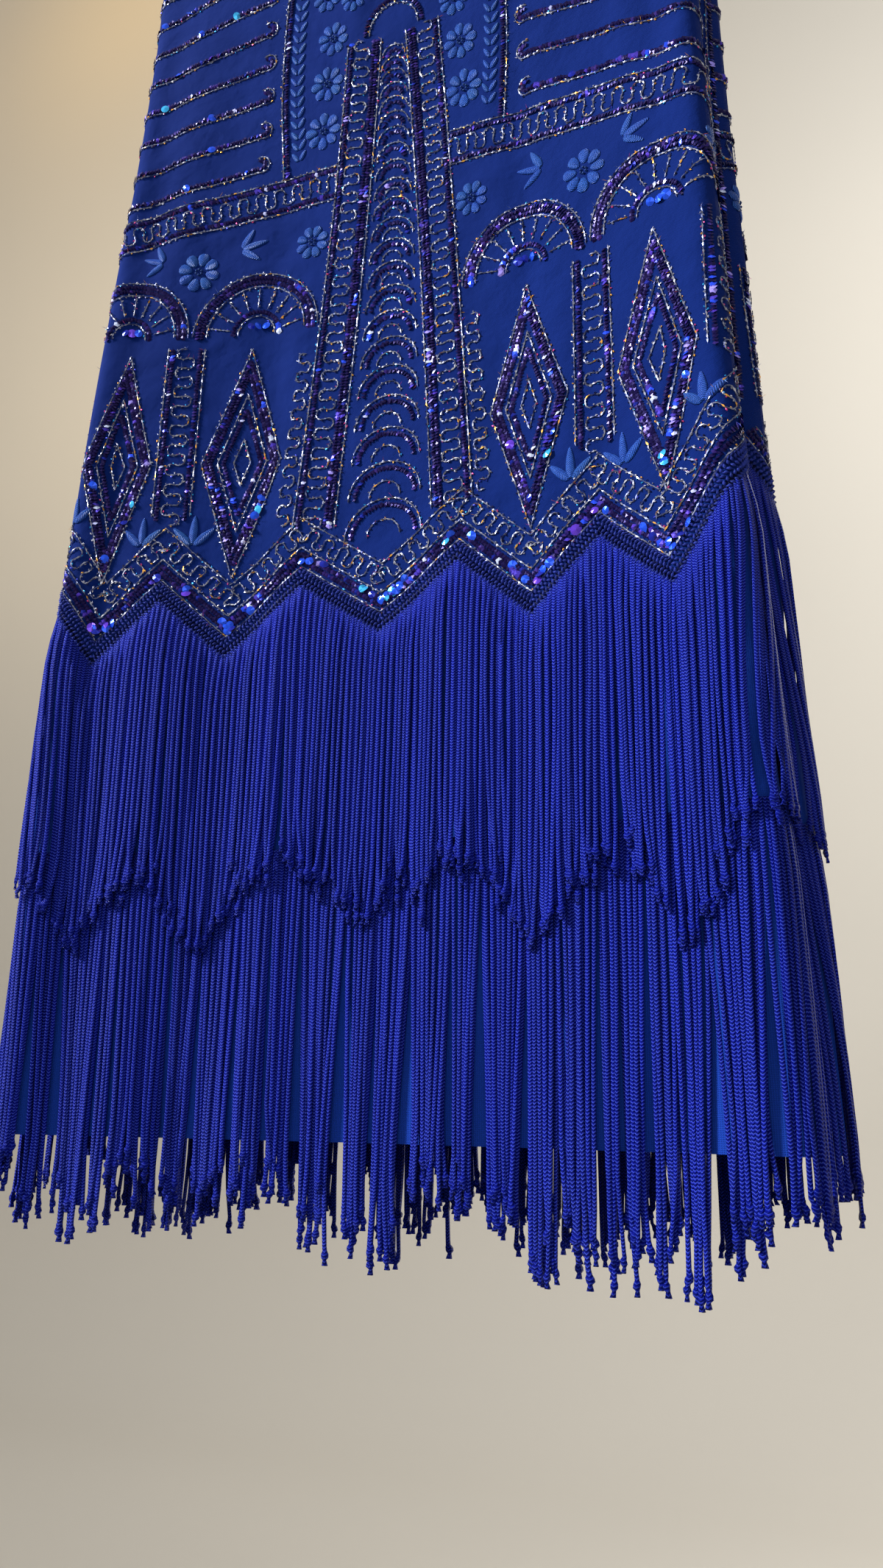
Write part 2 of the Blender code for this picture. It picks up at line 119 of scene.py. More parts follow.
# Creases that the cloth hangs in: soft troughs (depth below 0) and ridges.
# s is their place across a panel (-1 to 1), lean is how far s moves on the way down.
Crease = namedtuple("Crease", "s top bottom width depth lean")
CREASES_FRONT = [
    Crease(-0.78, -0.33, -0.70, 0.050, -0.0022, 0.05),
    Crease(-0.60, -0.42, -0.95, 0.065, 0.0018, -0.03),
    Crease(-0.33, -0.48, -1.10, 0.055, -0.0024, 0.02),
    Crease(-0.12, -0.34, -0.66, 0.045, 0.0015, 0.00),
    Crease(0.14, -0.52, -1.15, 0.060, 0.0021, 0.03),
    Crease(0.36, -0.36, -0.80, 0.050, -0.0019, 0.05),
    Crease(0.55, -0.60, -1.16, 0.070, -0.0026, 0.02),
    Crease(0.72, -0.32, -0.62, 0.045, 0.0017, -0.05),
    Crease(-0.46, -0.24, -0.40, 0.045, -0.0018, 0.06),
    Crease(0.45, -0.24, -0.43, 0.050, -0.0020, -0.06),
]
CREASES_BACK = [
    Crease(-0.70, -0.36, -0.85, 0.060, -0.0020, -0.04),
    Crease(-0.41, -0.50, -1.12, 0.055, 0.0019, 0.02),
    Crease(-0.18, -0.30, -0.72, 0.050, -0.0022, 0.03),
    Crease(0.08, -0.55, -1.16, 0.060, -0.0021, -0.02),
    Crease(0.30, -0.28, -0.60, 0.045, 0.0016, 0.04),
    Crease(0.58, -0.44, -1.05, 0.065, 0.0020, -0.03),
    Crease(0.77, -0.62, -1.14, 0.050, -0.0018, 0.02),
    Crease(-0.52, -0.22, -0.42, 0.050, -0.0017, 0.05),
]

# Cloth and sewing
HALF_CUT = 0.255          # flat half width of a panel, so p = s * HALF_CUT
SHEET_THICK = 0.0007
OVERLAY_OUT = 0.00075     # middle of the outer layer, from the panel's middle surface
LINING_OUT = -0.00075
ON_CLOTH = OVERLAY_OUT + 0.5 * SHEET_THICK
THREAD_OUT = ON_CLOTH + 0.0005
SEQUIN_OUT = ON_CLOTH + 0.0006
BRIGHT_OUT = ON_CLOTH + 0.0013
BEAD_OUT = ON_CLOTH + 0.0008
PETAL_OUT = ON_CLOTH + 0.0002
BRAID_OUT = 0.0016
CORD_OUT = 0.0017
BRAID_OVERLAP = 0.001     # of the braid over the outer layer's hem
COLUMNS = 60              # of half a panel's sheet
LINING_COLUMNS = 42
ROWS_MEET_Z = -0.72       # rows follow the hem under this height and lie level over it
LOW_ROW = 0.011
LEVEL_ROWS = 38
BODICE_ROWS = 13
SIDE = {"front": 1, "back": -1}

# Tables of a panel's middle surface
TABLE_COLUMNS = 321
TABLE_ROW = 0.005
TABLE_TOP_Z = -0.140

# Camera, found by fitting the photo
CAMERA_AT = (0.2649, -0.573, -1.125)
CAMERA_PITCH = 16.1
CAMERA_YAW = 21.9
CAMERA_ROLL = 1.24
FOCAL_PIXELS = 1601.0
IMAGE_LONG = 2131.0
SENSOR_WIDTH = 36.0


# Small tools

def deselect():
    for item in bpy.context.selected_objects:
        item.select_set(False)


def take_new():
    """The object that an operator has just added, as arrays of its points and faces, removed."""
    item = bpy.context.object
    mesh = item.data
    points = np.array([corner.co[:] for corner in mesh.vertices])
    faces = [tuple(face.vertices) for face in mesh.polygons]
    bpy.data.objects.remove(item, do_unlink=True)
    bpy.data.meshes.remove(mesh)
    return points, faces


def finished(item, slot, *nodes):
    """Let a finished piece ride with the dress and hide the solids of its nodes. The slot is not used."""
    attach(item, "root")
    if nodes:
        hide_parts(*nodes)
    item.select_set(False)


def write_map(mesh, layer, places):
    """Write each point's place on a map to the face corners that meet there."""
    corner_of = np.empty(len(mesh.loops), dtype=np.int32)
    mesh.loops.foreach_get("vertex_index", corner_of)
    layer.data.foreach_set("uv", places[corner_of].astype(np.float32).ravel())


def smooth_step(value, low, high):
    t = np.clip((value - low) / (high - low), 0.0, 1.0)
    return t * t * (3 - 2 * t)


def unit(vectors):
    return vectors / np.maximum(np.linalg.norm(vectors, axis=-1, keepdims=True), 1e-12)


def distances(points):
    """How far along a line each of its points is."""
    return np.concatenate([[0.0], np.cumsum(np.linalg.norm(np.diff(points, axis=0), axis=1))])


def between(wanted, known, points):
    """Points for the wanted values, on straight runs between the points of the known ones."""
    return np.stack([np.interp(wanted, known, values) for values in np.transpose(points)], 1)


def smooth_curve(start, end, leave, arrive, t):
    """A curve from start (t is 0) to end (t is 1) that leaves and arrives with the given slopes."""
    return ((2 * t**3 - 3 * t**2 + 1) * start + (t**3 - 2 * t**2 + t) * leave
            + (3 * t**2 - 2 * t**3) * end + (t**3 - t**2) * arrive)


class Heap:
    """One piece, gathered from many copies of small shapes."""

    def __init__(self):
        self.points = []
        self.faces = []
        self.maps = []
        self.tints = []
        self.count = 0

    def add(self, points, faces, maps=None, tints=None):
        """points is (copies, corners, 3). maps (2 numbers) and tints (4) are per corner or copy."""
        copies, corners = points.shape[:2]
        starts = self.count + corners * np.arange(copies)
        for size in sorted({len(face) for face in faces}):
            some = np.array([face for face in faces if len(face) == size])
            self.faces.extend((starts[:, None, None] + some[None]).reshape(-1, size).tolist())
        self.points.append(points.reshape(-1, 3))
        blank = np.zeros((copies, corners, 2))
        self.maps.append((blank if maps is None else np.broadcast_to(maps, blank.shape)).reshape(-1, 2))
        if tints is None:
            tints = np.ones(4)
        elif tints.ndim == 2:
            tints = tints[:, None, :]
        self.tints.append(np.broadcast_to(tints, (copies, corners, 4)).reshape(-1, 4))
        self.count += copies * corners

    def build(self, name, material, smooth=True):
        mesh = bpy.data.meshes.new(name)
        mesh.from_pydata(np.concatenate(self.points).tolist(), [], self.faces)
        write_map(mesh, mesh.uv_layers.new(name="sewing"), np.concatenate(self.maps))
        tint = mesh.color_attributes.new("tint", "FLOAT_COLOR", "POINT")
        tint.data.foreach_set("color", np.concatenate(self.tints).astype(np.float32).ravel())
        mesh.polygons.foreach_set("use_smooth", np.full(len(mesh.polygons), smooth))
        mesh.materials.append(material)
        mesh.update()
        item = bpy.data.objects.new(name, mesh)
        bpy.context.scene.collection.objects.link(item)
        return item


# Form of the cloth

def level_at(z):
    """Sizes of the section at a height, on a smooth curve through the rows of the table."""
    values = np.array(LEVELS)
    depths = -values[:, 0]
    slopes = np.gradient(values, depths, axis=0)
    depth = min(max(-z, depths[0]), depths[-1])
    row = min(int(np.searchsorted(depths, depth, side="right")) - 1, len(LEVELS) - 2)
    gap = depths[row + 1] - depths[row]
    t = (depth - depths[row]) / gap
    return Level(*smooth_curve(values[row], values[row + 1], gap * slopes[row], gap * slopes[row + 1], t))


def section(z, side):
    """Outline of one half of the section, front middle to back middle, and its seam index."""
    level = level_at(z)
    half = level.right if side > 0 else level.left
    shoulder = level.middle + 0.7 * (level.ridge - level.middle)
    corners = [
        (0.0, -level.centre), (0.50 * half, -level.middle), (SHOULDER_X * half, -shoulder),
        (RIDGE_X * half, -level.ridge * 0.97), (level.valley_x * half, -level.valley_y),
        (level.back_x * half, level.back_y), (0.90 * half, level.back * 0.97),
        (0.50 * half, level.back), (0.0, level.back),
    ]
    beyond = [(-corners[1][0], corners[1][1])] + corners + [(-corners[-2][0], corners[-2][1])]
    points = []
    t = (np.arange(SPLINE_STEPS) / SPLINE_STEPS)[:, None]
    for index in range(1, len(beyond) - 2):
        before, start, end, after = [np.array(corner) for corner in beyond[index - 1:index + 3]]
        chord = np.linalg.norm(end - start)
        leave = (end - before) / np.linalg.norm(end - before) * chord
        arrive = (after - start) / np.linalg.norm(after - start) * chord
        points.append(smooth_curve(start, end, leave, arrive, t))
    points.append(np.array([corners[-1]]))
    return np.concatenate(points), SEAM_CORNER * SPLINE_STEPS


class Panel:
    """Middle surface of a panel's cloth, as dense tables that pieces are laid on."""

    def __init__(self, label):
        self.label = label
        self.back = label == "back"
        self.s = np.linspace(-1.0, 1.0, TABLE_COLUMNS)
        self.z = np.arange(LOWEST_Z - 0.010, TABLE_TOP_Z, TABLE_ROW)
        self.points = np.empty((len(self.s), len(self.z), 3))
        for row, z in enumerate(self.z):
            for side in (-1, 1):
                outline, seam = section(z, side)
                run = outline[seam:][::-1] if self.back else outline[:seam + 1]
                lengths = distances(run)
                pick = self.s * side >= 0
                u = np.abs(self.s[pick])
                along = (u - side * TWIST * np.sin(np.pi * u**1.6)) * lengths[-1]
                self.points[pick, row, 0] = side * np.interp(along, lengths, run[:, 0])
                y = np.interp(along, lengths, run[:, 1]) + self.ripple(u, z, side)
                self.points[pick, row, 1] = y
            self.points[:, row, 1] += self.creases(z) * (1 if self.back else -1)
        self.points[:, :, 2] = self.z
        normals = np.cross(np.gradient(self.points, axis=0), np.gradient(self.points, axis=1))
        self.normals = unit(-normals if self.back else normals)

    def ripple(self, u, z, side):
        """How deep the loose cloth's soft waves are at a height, for each u of one side."""
        depth = RIPPLE_DEPTH * min(max((RIPPLE_TOP_Z - z) / (RIPPLE_TOP_Z - HEM_Z), 0.0), 1.0)
        phase = 0.4 * side + (0.9 if self.back else 0.0)
        fade = np.minimum(u * 4.0, 1.0) * np.minimum((1.0 - u) * 3.0, 1.0)
        return depth * fade * np.sin(2 * np.pi * RIPPLE_WAVES * u + phase)

    def creases(self, z):
        """How far the creases push the cloth outwards at a height, for each s."""
        push = np.zeros(len(self.s))
        for crease in CREASES_BACK if self.back else CREASES_FRONT:
            part = (crease.top - z) / (crease.top - crease.bottom)
            if 0.0 < part < 1.0:
                centre = crease.s + crease.lean * part
                swell = math.sin(math.pi * part**0.8)
                push += crease.depth * swell * np.exp(-((self.s - centre) / crease.width) ** 2)
        return push * np.minimum((1.0 - np.abs(self.s)) * 6.0, 1.0)

    def look(self, table, s, z):
        """A table's value at (s, z), between its four nearest entries."""
        column = np.clip((s + 1.0) / (self.s[1] - self.s[0]), 0, len(self.s) - 1.001)
        row = np.clip((z - self.z[0]) / (self.z[1] - self.z[0]), 0, len(self.z) - 1.001)
        i, j = column.astype(int), row.astype(int)
        a, b = (column - i)[..., None], (row - j)[..., None]
        return ((1 - a) * (1 - b) * table[i, j] + a * (1 - b) * table[i + 1, j]
                + (1 - a) * b * table[i, j + 1] + a * b * table[i + 1, j + 1])

    def at(self, s, z, out=0.0):
        """Points over the cloth, out metres from its middle surface."""
        s, z, out = np.broadcast_arrays(np.asarray(s, float), z, out)
        return self.look(self.points, s, z) + unit(self.look(self.normals, s, z)) * out[..., None]

    def out_of(self, s, z):
        s, z = np.broadcast_arrays(np.asarray(s, float), z)
        return unit(self.look(self.normals, s, z))

    def to_s(self, p):
        """s of a distance p to the viewer's right."""
        return np.asarray(p) / HALF_CUT * SIDE[self.label]


PANELS = {}


def panels():
    """The front and the back panel, made once."""
    if not PANELS:
        for label in SIDE:
            PANELS[label] = Panel(label)
        front, back = PANELS["front"], PANELS["back"]
        for column in (0, -1):
            shared = unit(front.normals[column] + back.normals[column])
            front.normals[column] = shared
            back.normals[column] = shared
    return PANELS.values()


def each_panel(seed):
    """The panels in turn, each with seeded random numbers and an empty heap."""
    for number, panel in enumerate(panels()):
        yield panel, np.random.default_rng(seed + number), Heap()


def hem_rise(u):
    return np.interp(u, [corner.u for corner in ZIGZAG], [corner.rise for corner in ZIGZAG])


def braid_foot(u):
    """Height of the braid's lower edge, where the upper fringe comes out."""
    return TIP_Z + hem_rise(u)


def upper_edge(u, back):
    """Height of the neckline, the foot of the strap, or the armhole."""
    inner = np.interp(u, [edge.u for edge in NECKLINE], [edge[2 if back else 1] for edge in NECKLINE])
    outer = np.interp(u, [edge.u for edge in ARMHOLE], [edge[2 if back else 1] for edge in ARMHOLE])
    return np.where(u <= STRAP_IN + 1e-6, inner, outer)


def strap_line(start, back):
    """Points and outward directions up one column of a strap, from its foot to the shoulder."""
    x = start[0]
    facing = 1.0 if back else -1.0
    top = ARM_RISE_Z - ARM_SLOPE * abs(x) + STRAP_TOP
    knots = [start]
    for wrap in STRAP_ROWS:
        depth = max(STRAP_DEPTH * wrap.depth, STRAP_SEAM)
        knots.append(np.array([x, facing * depth, top - wrap.drop]))
    tilts = [0.0] + [wrap.tilt for wrap in STRAP_ROWS]
    reach = np.linspace(0, len(knots) - 1, STRAP_STEPS + 1)[1:]
    tilt = np.radians(np.interp(reach, range(len(knots)), tilts))
    outward = np.stack([0 * tilt, facing * np.cos(tilt), np.sin(tilt)], 1)
    return between(reach, range(len(knots)), knots), outward


# Shader maths

class Number:
    """A socket that takes part in sums. Each sum adds its Math node."""

    def __init__(self, paint, socket):
        self.paint = paint
        self.socket = socket

    def combine(self, operation, first, second=None):
        sockets = {0: first}
        if second is not None:
            sockets[1] = second
        made = self.paint.node("ShaderNodeMath", {"operation": operation}, sockets)
        return Number(self.paint, made.outputs[0])

    def __add__(self, other):
        return self.combine("ADD", self, other)

    def __sub__(self, other):
        return self.combine("SUBTRACT", self, other)

    def __mul__(self, other):
        return self.combine("MULTIPLY", self, other)

    def __pow__(self, other):
        return self.combine("POWER", self, other)

    def __mod__(self, other):
        return self.combine("FLOORED_MODULO", self, other)

    def __rsub__(self, other):
        return self.combine("SUBTRACT", other, self)

    def __abs__(self):
        return self.combine("ABSOLUTE", self)

    __radd__ = __add__
    __rmul__ = __mul__

    def sine(self):
        return self.combine("SINE", self)


class Paint:
    """A material under construction."""

    def __init__(self, name, roughness=0.5, metallic=0.0, **constants):
        self.material = bpy.data.materials.new(name)
        self.material.use_nodes = True
        self.tree = self.material.node_tree
        self.shader = self.tree.nodes["Principled BSDF"]
        self.shader.inputs["Roughness"].default_value = roughness
        self.shader.inputs["Metallic"].default_value = metallic
        for socket, value in constants.items():
            self.shader.inputs[socket.replace("_", " ")].default_value = value

    def node(self, kind, settings=None, sockets=None):
        """Add a node. Its settings come first, then the values or links of its sockets."""
        made = self.tree.nodes.new(kind)
        for key, value in (settings or {}).items():
            setattr(made, key, value)
        for key, value in (sockets or {}).items():
            self.join(value, made.inputs[key])
        return made

    def join(self, value, socket):
        if isinstance(value, Number):
            value = value.socket
        if isinstance(value, bpy.types.NodeSocket):
            self.tree.links.new(value, socket)
        else:
            socket.default_value = value

    def feed(self, socket, value):
        self.join(value, self.shader.inputs[socket])

    def number(self, socket):
        return Number(self, socket)

    def mix(self, factor, first, second):
        """A colour between two: the first where the factor is 0, the second where it is 1."""
        sockets = {0: factor, 6: first, 7: second}
        return self.node("ShaderNodeMix", {"data_type": "RGBA"}, sockets).outputs[2]

    def noise(self, scale, detail):
        """Soft noise from 0 to 1 over the piece, with scale swells to a metre."""
        place = self.node("ShaderNodeTexCoord").outputs["Object"]
        sockets = {"Vector": place, "Scale": scale, "Detail": detail}
        return self.number(self.node("ShaderNodeTexNoise", None, sockets).outputs[0])

    def sewing(self):
        """The piece's own map: across and along, in metres, as two numbers."""
        made = self.node("ShaderNodeUVMap", {"uv_map": "sewing"})
        apart = self.node("ShaderNodeSeparateXYZ", None, {0: made.outputs[0]})
        return self.number(apart.outputs[0]), self.number(apart.outputs[1])

    def tint(self):
        """The colour that each small shape of a piece carries."""
        return self.node("ShaderNodeAttribute", {"attribute_name": "tint"}).outputs["Color"]

    def bump(self, height, distance, strength=1.0):
        made = self.node("ShaderNodeBump", None,
                         {"Height": height, "Distance": distance, "Strength": strength})
        self.feed("Normal", made.outputs[0])


def shade(colour, amount):
    """A colour made darker or lighter, as a socket's value."""
    return (*[min(part * amount, 1.0) for part in colour], 1.0)


# Sizes and colours that a user would change

def length(name, description, default):
    return bpy.props.FloatProperty(name=name, description=description, default=default, min=0.0001,
                                   subtype="DISTANCE", unit="LENGTH", precision=4)


def colour(name, description, default):
    return bpy.props.FloatVectorProperty(name=name, description=description, default=default, size=3,
                                         min=0.0, max=1.0, subtype="COLOR")


class DressSizes(bpy.types.PropertyGroup):
    """Sizes of the trimmings."""
    strand_pitch: length("Strand pitch", "Distance between two fringe strands", 0.0017)
    strand_width: length("Strand width", "Width of a fringe strand", 0.0023)
    strand_length: length("Strand length", "Hanging length of the upper fringe", 0.178)
    thread_width: length("Thread width", "Width of the couched metallic thread", 0.0011)
    stitch_pitch: length("Stitch pitch", "Distance between two stitches of the metallic thread", 0.0022)
    sequin_size: length("Sequin size", "Width of a sequin in the dark lines", 0.0036)
    sequin_pitch: length("Sequin pitch", "Distance between two sequins of a dark line", 0.0021)
    bright_size: length("Bright sequin size", "Width of a loose bright sequin", 0.0058)
    loop_pitch: length("Loop pitch", "Distance between two loops of the crocheted braid", 0.0026)


class DressColours(bpy.types.PropertyGroup):
    """Colours of the cloth and trimmings."""
    overlay: colour("Outer layer", "Colour of the outer crepe", (0.0033, 0.0145, 0.119))
    lining: colour("Inner layer", "Colour of the inner knit", (0.0085, 0.0380, 0.300))
    fringe: colour("Fringe", "Colour of the strands", (0.0028, 0.0082, 0.365))
    braid: colour("Braid", "Colour of the crocheted braid", (0.020, 0.033, 0.240))
    silver: colour("Silver thread", "Main colour of the metallic thread", (0.27, 0.29, 0.39))
    gold: colour("Gold thread", "Warm glints in the metallic thread", (0.95, 0.48, 0.08))
    sequin: colour("Dark sequin", "Colour of the dark sequin lines", (0.006, 0.0035, 0.050))
    bright: colour("Bright sequin", "Colour of the loose sequins", (0.015, 0.090, 0.900))
    petal: colour("Satin stitch", "Colour of the embroidered flowers", (0.014, 0.066, 0.430))
    hanger: colour("Hanger", "Colour of the hanger", (0.62, 0.60, 0.57))
    floor: colour("Floor", "Colour of the floor and backdrop", (0.72, 0.69, 0.63))


def sizes():
    return bpy.context.scene.dress_sizes


def colours():
    return bpy.context.scene.dress_colours


# Cloth

BLUE_SHEEN = (0.12, 0.22, 1.0, 1.0)


def cut_away(item, surplus):
    """Delete the marked points of the active object."""
    bpy.ops.object.mode_set(mode="EDIT")
    bpy.ops.mesh.select_mode(type="VERT")
    bpy.ops.mesh.select_all(action="DESELECT")
    bpy.ops.object.mode_set(mode="OBJECT")
    item.data.vertices.foreach_set("select", surplus.ravel())
    bpy.ops.object.mode_set(mode="EDIT")
    bpy.ops.mesh.delete(type="VERT")
    bpy.ops.object.mode_set(mode="OBJECT")


def sheet(name, panel, columns, hem, out, material):
    """A panel's cloth as a thin closed shell, from its hem up to the neck, armholes and straps."""
    turns = [corner.u for corner in ZIGZAG]
    half = [0.0]
    for start, span in zip(turns, np.diff(turns)):
        count = max(int(round(columns * span)), 2)
        half += list(start + span * np.arange(1, count + 1) / count)
    s = np.array([-u for u in half[:0:-1]] + half)
    u = np.abs(s)
    foot = hem(u)
    top = upper_edge(u, panel.back)
    finer = columns / COLUMNS
    low_rows = int(round(finer * (ROWS_MEET_Z - foot.min()) / LOW_ROW)) + 1
    low = [foot + (ROWS_MEET_Z - foot) * part for part in np.linspace(0, 1, low_rows)]
    level = [np.full(len(s), z) for z in np.linspace(ROWS_MEET_Z, BODICE_Z, int(LEVEL_ROWS * finer))[1:]]
    bodice = [BODICE_Z + (top - BODICE_Z) * part for part in np.linspace(0, 1, BODICE_ROWS)[1:]]
    heights = np.array(low + level + bodice)
    rows = len(heights)
    all_rows = rows + STRAP_STEPS
    deselect()
    bpy.ops.mesh.primitive_grid_add(x_subdivisions=len(s) - 1, y_subdivisions=all_rows - 1, size=1)
    item = bpy.context.object
    item.name = item.data.name = name
    points = np.empty((all_rows, len(s), 3))
    for row in range(rows):
        points[row] = panel.at(s, heights[row], out)
    points[rows:] = points[rows - 1]
    strap = (u >= STRAP_IN - 1e-6) & (u <= STRAP_OUT + 1e-6)
    for column in np.flatnonzero(strap):
        line, outward = strap_line(panel.at(s[column], heights[rows - 1][column]), panel.back)
        points[rows:, column] = line + outward * out
    item.data.vertices.foreach_set("co", points.astype(np.float32).ravel())
    across = np.broadcast_to(s * HALF_CUT, points.shape[:2])
    layer = item.data.uv_layers[0]
    layer.name = "sewing"
    write_map(item.data, layer, np.stack([across, points[:, :, 2]], 2).reshape(-1, 2))
    surplus = np.zeros(points.shape[:2], dtype=bool)
    surplus[rows:, ~strap] = True
    cut_away(item, surplus)
    if panel.back:
        bpy.ops.object.mode_set(mode="EDIT")
        bpy.ops.mesh.select_all(action="SELECT")
        bpy.ops.mesh.flip_normals()
        bpy.ops.object.mode_set(mode="OBJECT")
    bpy.ops.object.modifier_add(type="SOLIDIFY")
    wall = item.modifiers[-1]
    wall.thickness = SHEET_THICK
    wall.offset = 0.0
    bpy.ops.object.modifier_apply(modifier=wall.name)
    bpy.ops.object.shade_smooth_by_angle(angle=math.radians(50))
    item.data.materials.append(material)
    return item


def crepe():
    """Sheer crepe: a fine twill weave, a faint crinkle and soft uneven colour."""
    paint = Paint("crepe", roughness=0.85, Sheen_Weight=0.02, Sheen_Roughness=0.4,
                  Sheen_Tint=BLUE_SHEEN, Specular_IOR_Level=0.08, Specular_Tint=BLUE_SHEEN)
    across, along = paint.sewing()
    twill = ((across + along) * (2 * math.pi / 0.0011)).sine() * 0.5 + 0.5
    crinkle = paint.noise(260.0, 3.0)
    cloudy = paint.noise(14.0, 3.0)
    blue = tuple(colours().overlay)
    tone = paint.mix(cloudy, shade(blue, 0.80), shade(blue, 1.18))
    tone = paint.mix(twill * 0.20, tone, shade(blue, 1.7))
    paint.feed("Base Color", tone)
    puckers = paint.noise(52.0, 1.5)
    drape = paint.noise(19.0, 1.0)
    paint.bump(twill * 0.00014 + crinkle * 0.00060 + puckers * 0.0024 + drape * 0.0060, 1.0, 0.9)
    return paint.material


def knit():
    """Fine knit: columns of small loops."""
    paint = Paint("knit", roughness=0.80, Sheen_Weight=0.03, Sheen_Roughness=0.4,
                  Sheen_Tint=BLUE_SHEEN, Specular_IOR_Level=0.10, Specular_Tint=BLUE_SHEEN)
    across, along = paint.sewing()
    column = abs((across * (math.pi / 0.0010)).sine())
    course = ((along * (2 * math.pi / 0.0009)) + column * 1.6).sine() * 0.5 + 0.5
    blue = tuple(colours().lining)
    cloudy = paint.noise(11.0, 2.0)
    tone = paint.mix(cloudy, shade(blue, 0.85), shade(blue, 1.15))
    tone = paint.mix(column * course * 0.35, tone, shade(blue, 1.8))
    paint.feed("Base Color", tone)
    paint.bump(column * 0.6 + course * 0.5, 0.0004, 0.6)
    return paint.material


class DRESS_OT_linings(bpy.types.Operator):
    """Hang the inner layer of knit, front and back, with its straight hem."""
    bl_idname = "dress.linings"
    bl_label = "Linings"

    def execute(self, context):
        material = knit()
        for panel in panels():
            item = sheet("lining_cloth_" + panel.label, panel, LINING_COLUMNS,
                         lambda u: np.full(np.shape(u), HEM_Z), LINING_OUT, material)
            finished(item, "lining", "lining_" + panel.label)
        return {"FINISHED"}


class DRESS_OT_overlays(bpy.types.Operator):
    """Hang the outer layer of sheer crepe, front and back, with its zigzag hem."""
    bl_idname = "dress.overlays"
    bl_label = "Overlays"

    def execute(self, context):
        material = crepe()
        for panel in panels():
            item = sheet("overlay_cloth_" + panel.label, panel, COLUMNS,
                         lambda u: braid_foot(u) + BRAID_HEIGHT - BRAID_OVERLAP, OVERLAY_OUT, material)
            finished(item, "overlay", "overlay_" + panel.label)
        return {"FINISHED"}


# Fringe

STRAND_SIDES = 6
STRAND_RINGS = 12
SECOND_LAYER = 0.0014     # how much further out every other strand lies
ROOT_RISE = 0.0030        # roots of the upper tier, over the braid's foot
HEADING_DROP = 0.004      # roots of the lower tier, under the top of its heading
# How far out a tier hangs at its root, below that and at its end, and its width at the feet as
# a part of the width at the roots
Tier = namedtuple("Tier", "root_out middle_out end_out feet_width")
UPPER = Tier(0.0014, 0.0040, 0.0048, 0.975)
LOWER = Tier(0.0012, 0.0016, 0.0022, 0.980)
LOWER_END_Z = -1.167      # most strands of the lower tier end about here
SHORTEST_END_Z = -1.146
# Rings of a strand's knotted end: height over the very end, and width as a part of the strand's
KNOT = [(0.0088, 0.95), (0.0068, 1.00), (0.0054, 1.55), (0.0038, 1.55), (0.0026, 0.80), (0.0, 1.30)]


def strand_shape():
    """Faces of one strand: a tube that is extruded ring by ring and closed at both ends."""
    deselect()
    bpy.ops.mesh.primitive_circle_add(vertices=STRAND_SIDES, radius=1.0, fill_type="NGON")
    bpy.ops.object.mode_set(mode="EDIT")
    for ring in range(STRAND_RINGS + len(KNOT) - 1):
        bpy.ops.mesh.extrude_region_move(TRANSFORM_OT_translate={"value": (0, 0, -1.0)})
    bpy.ops.object.mode_set(mode="OBJECT")
    points, faces = take_new()
    ring = np.round(-points[:, 2]).astype(int)
    angle = np.arctan2(points[:, 1], points[:, 0])
    side = np.round(angle / (2 * math.pi / STRAND_SIDES)).astype(int) % STRAND_SIDES
    return ring, side, faces


class Groups:
    """Uneven groups that the strands cling together in."""

    def __init__(self, count, rng, fewest, most):
        self.of = np.empty(count, dtype=int)
        self.place = np.empty(count)
        index = number = 0
        while index < count:
            size = int(rng.integers(fewest, most))
            members = np.arange(index, min(index + size, count))
            self.of[members] = number
            self.place[members] = np.linspace(-1, 1, len(members)) if len(members) > 1 else 0.0
            index += size
            number += 1
        self.count = number

    def each(self, values):
        return values[self.of]

    def feet(self, s, rng, least_pull, most_pull, lean):
        """s of each strand's foot: the strands of a group swing together and lean a bit."""
        centres = np.bincount(self.of, s) / np.bincount(self.of)
        pull = self.each(rng.uniform(least_pull, most_pull, self.count))
        return s + (self.each(centres) - s) * pull + self.each(rng.normal(0, lean, self.count))

    def ends(self, rng, by_group, by_strand, long_share, long_by):
        """How much lower each strand ends: by group, by strand, and a few long ones."""
        count = len(self.of)
        longer = np.where(rng.random(count) < long_share, rng.uniform(0.3, 1.0, count) * long_by, 0.0)
        return self.each(rng.normal(0, by_group, self.count)) + rng.normal(0, by_strand, count) + longer


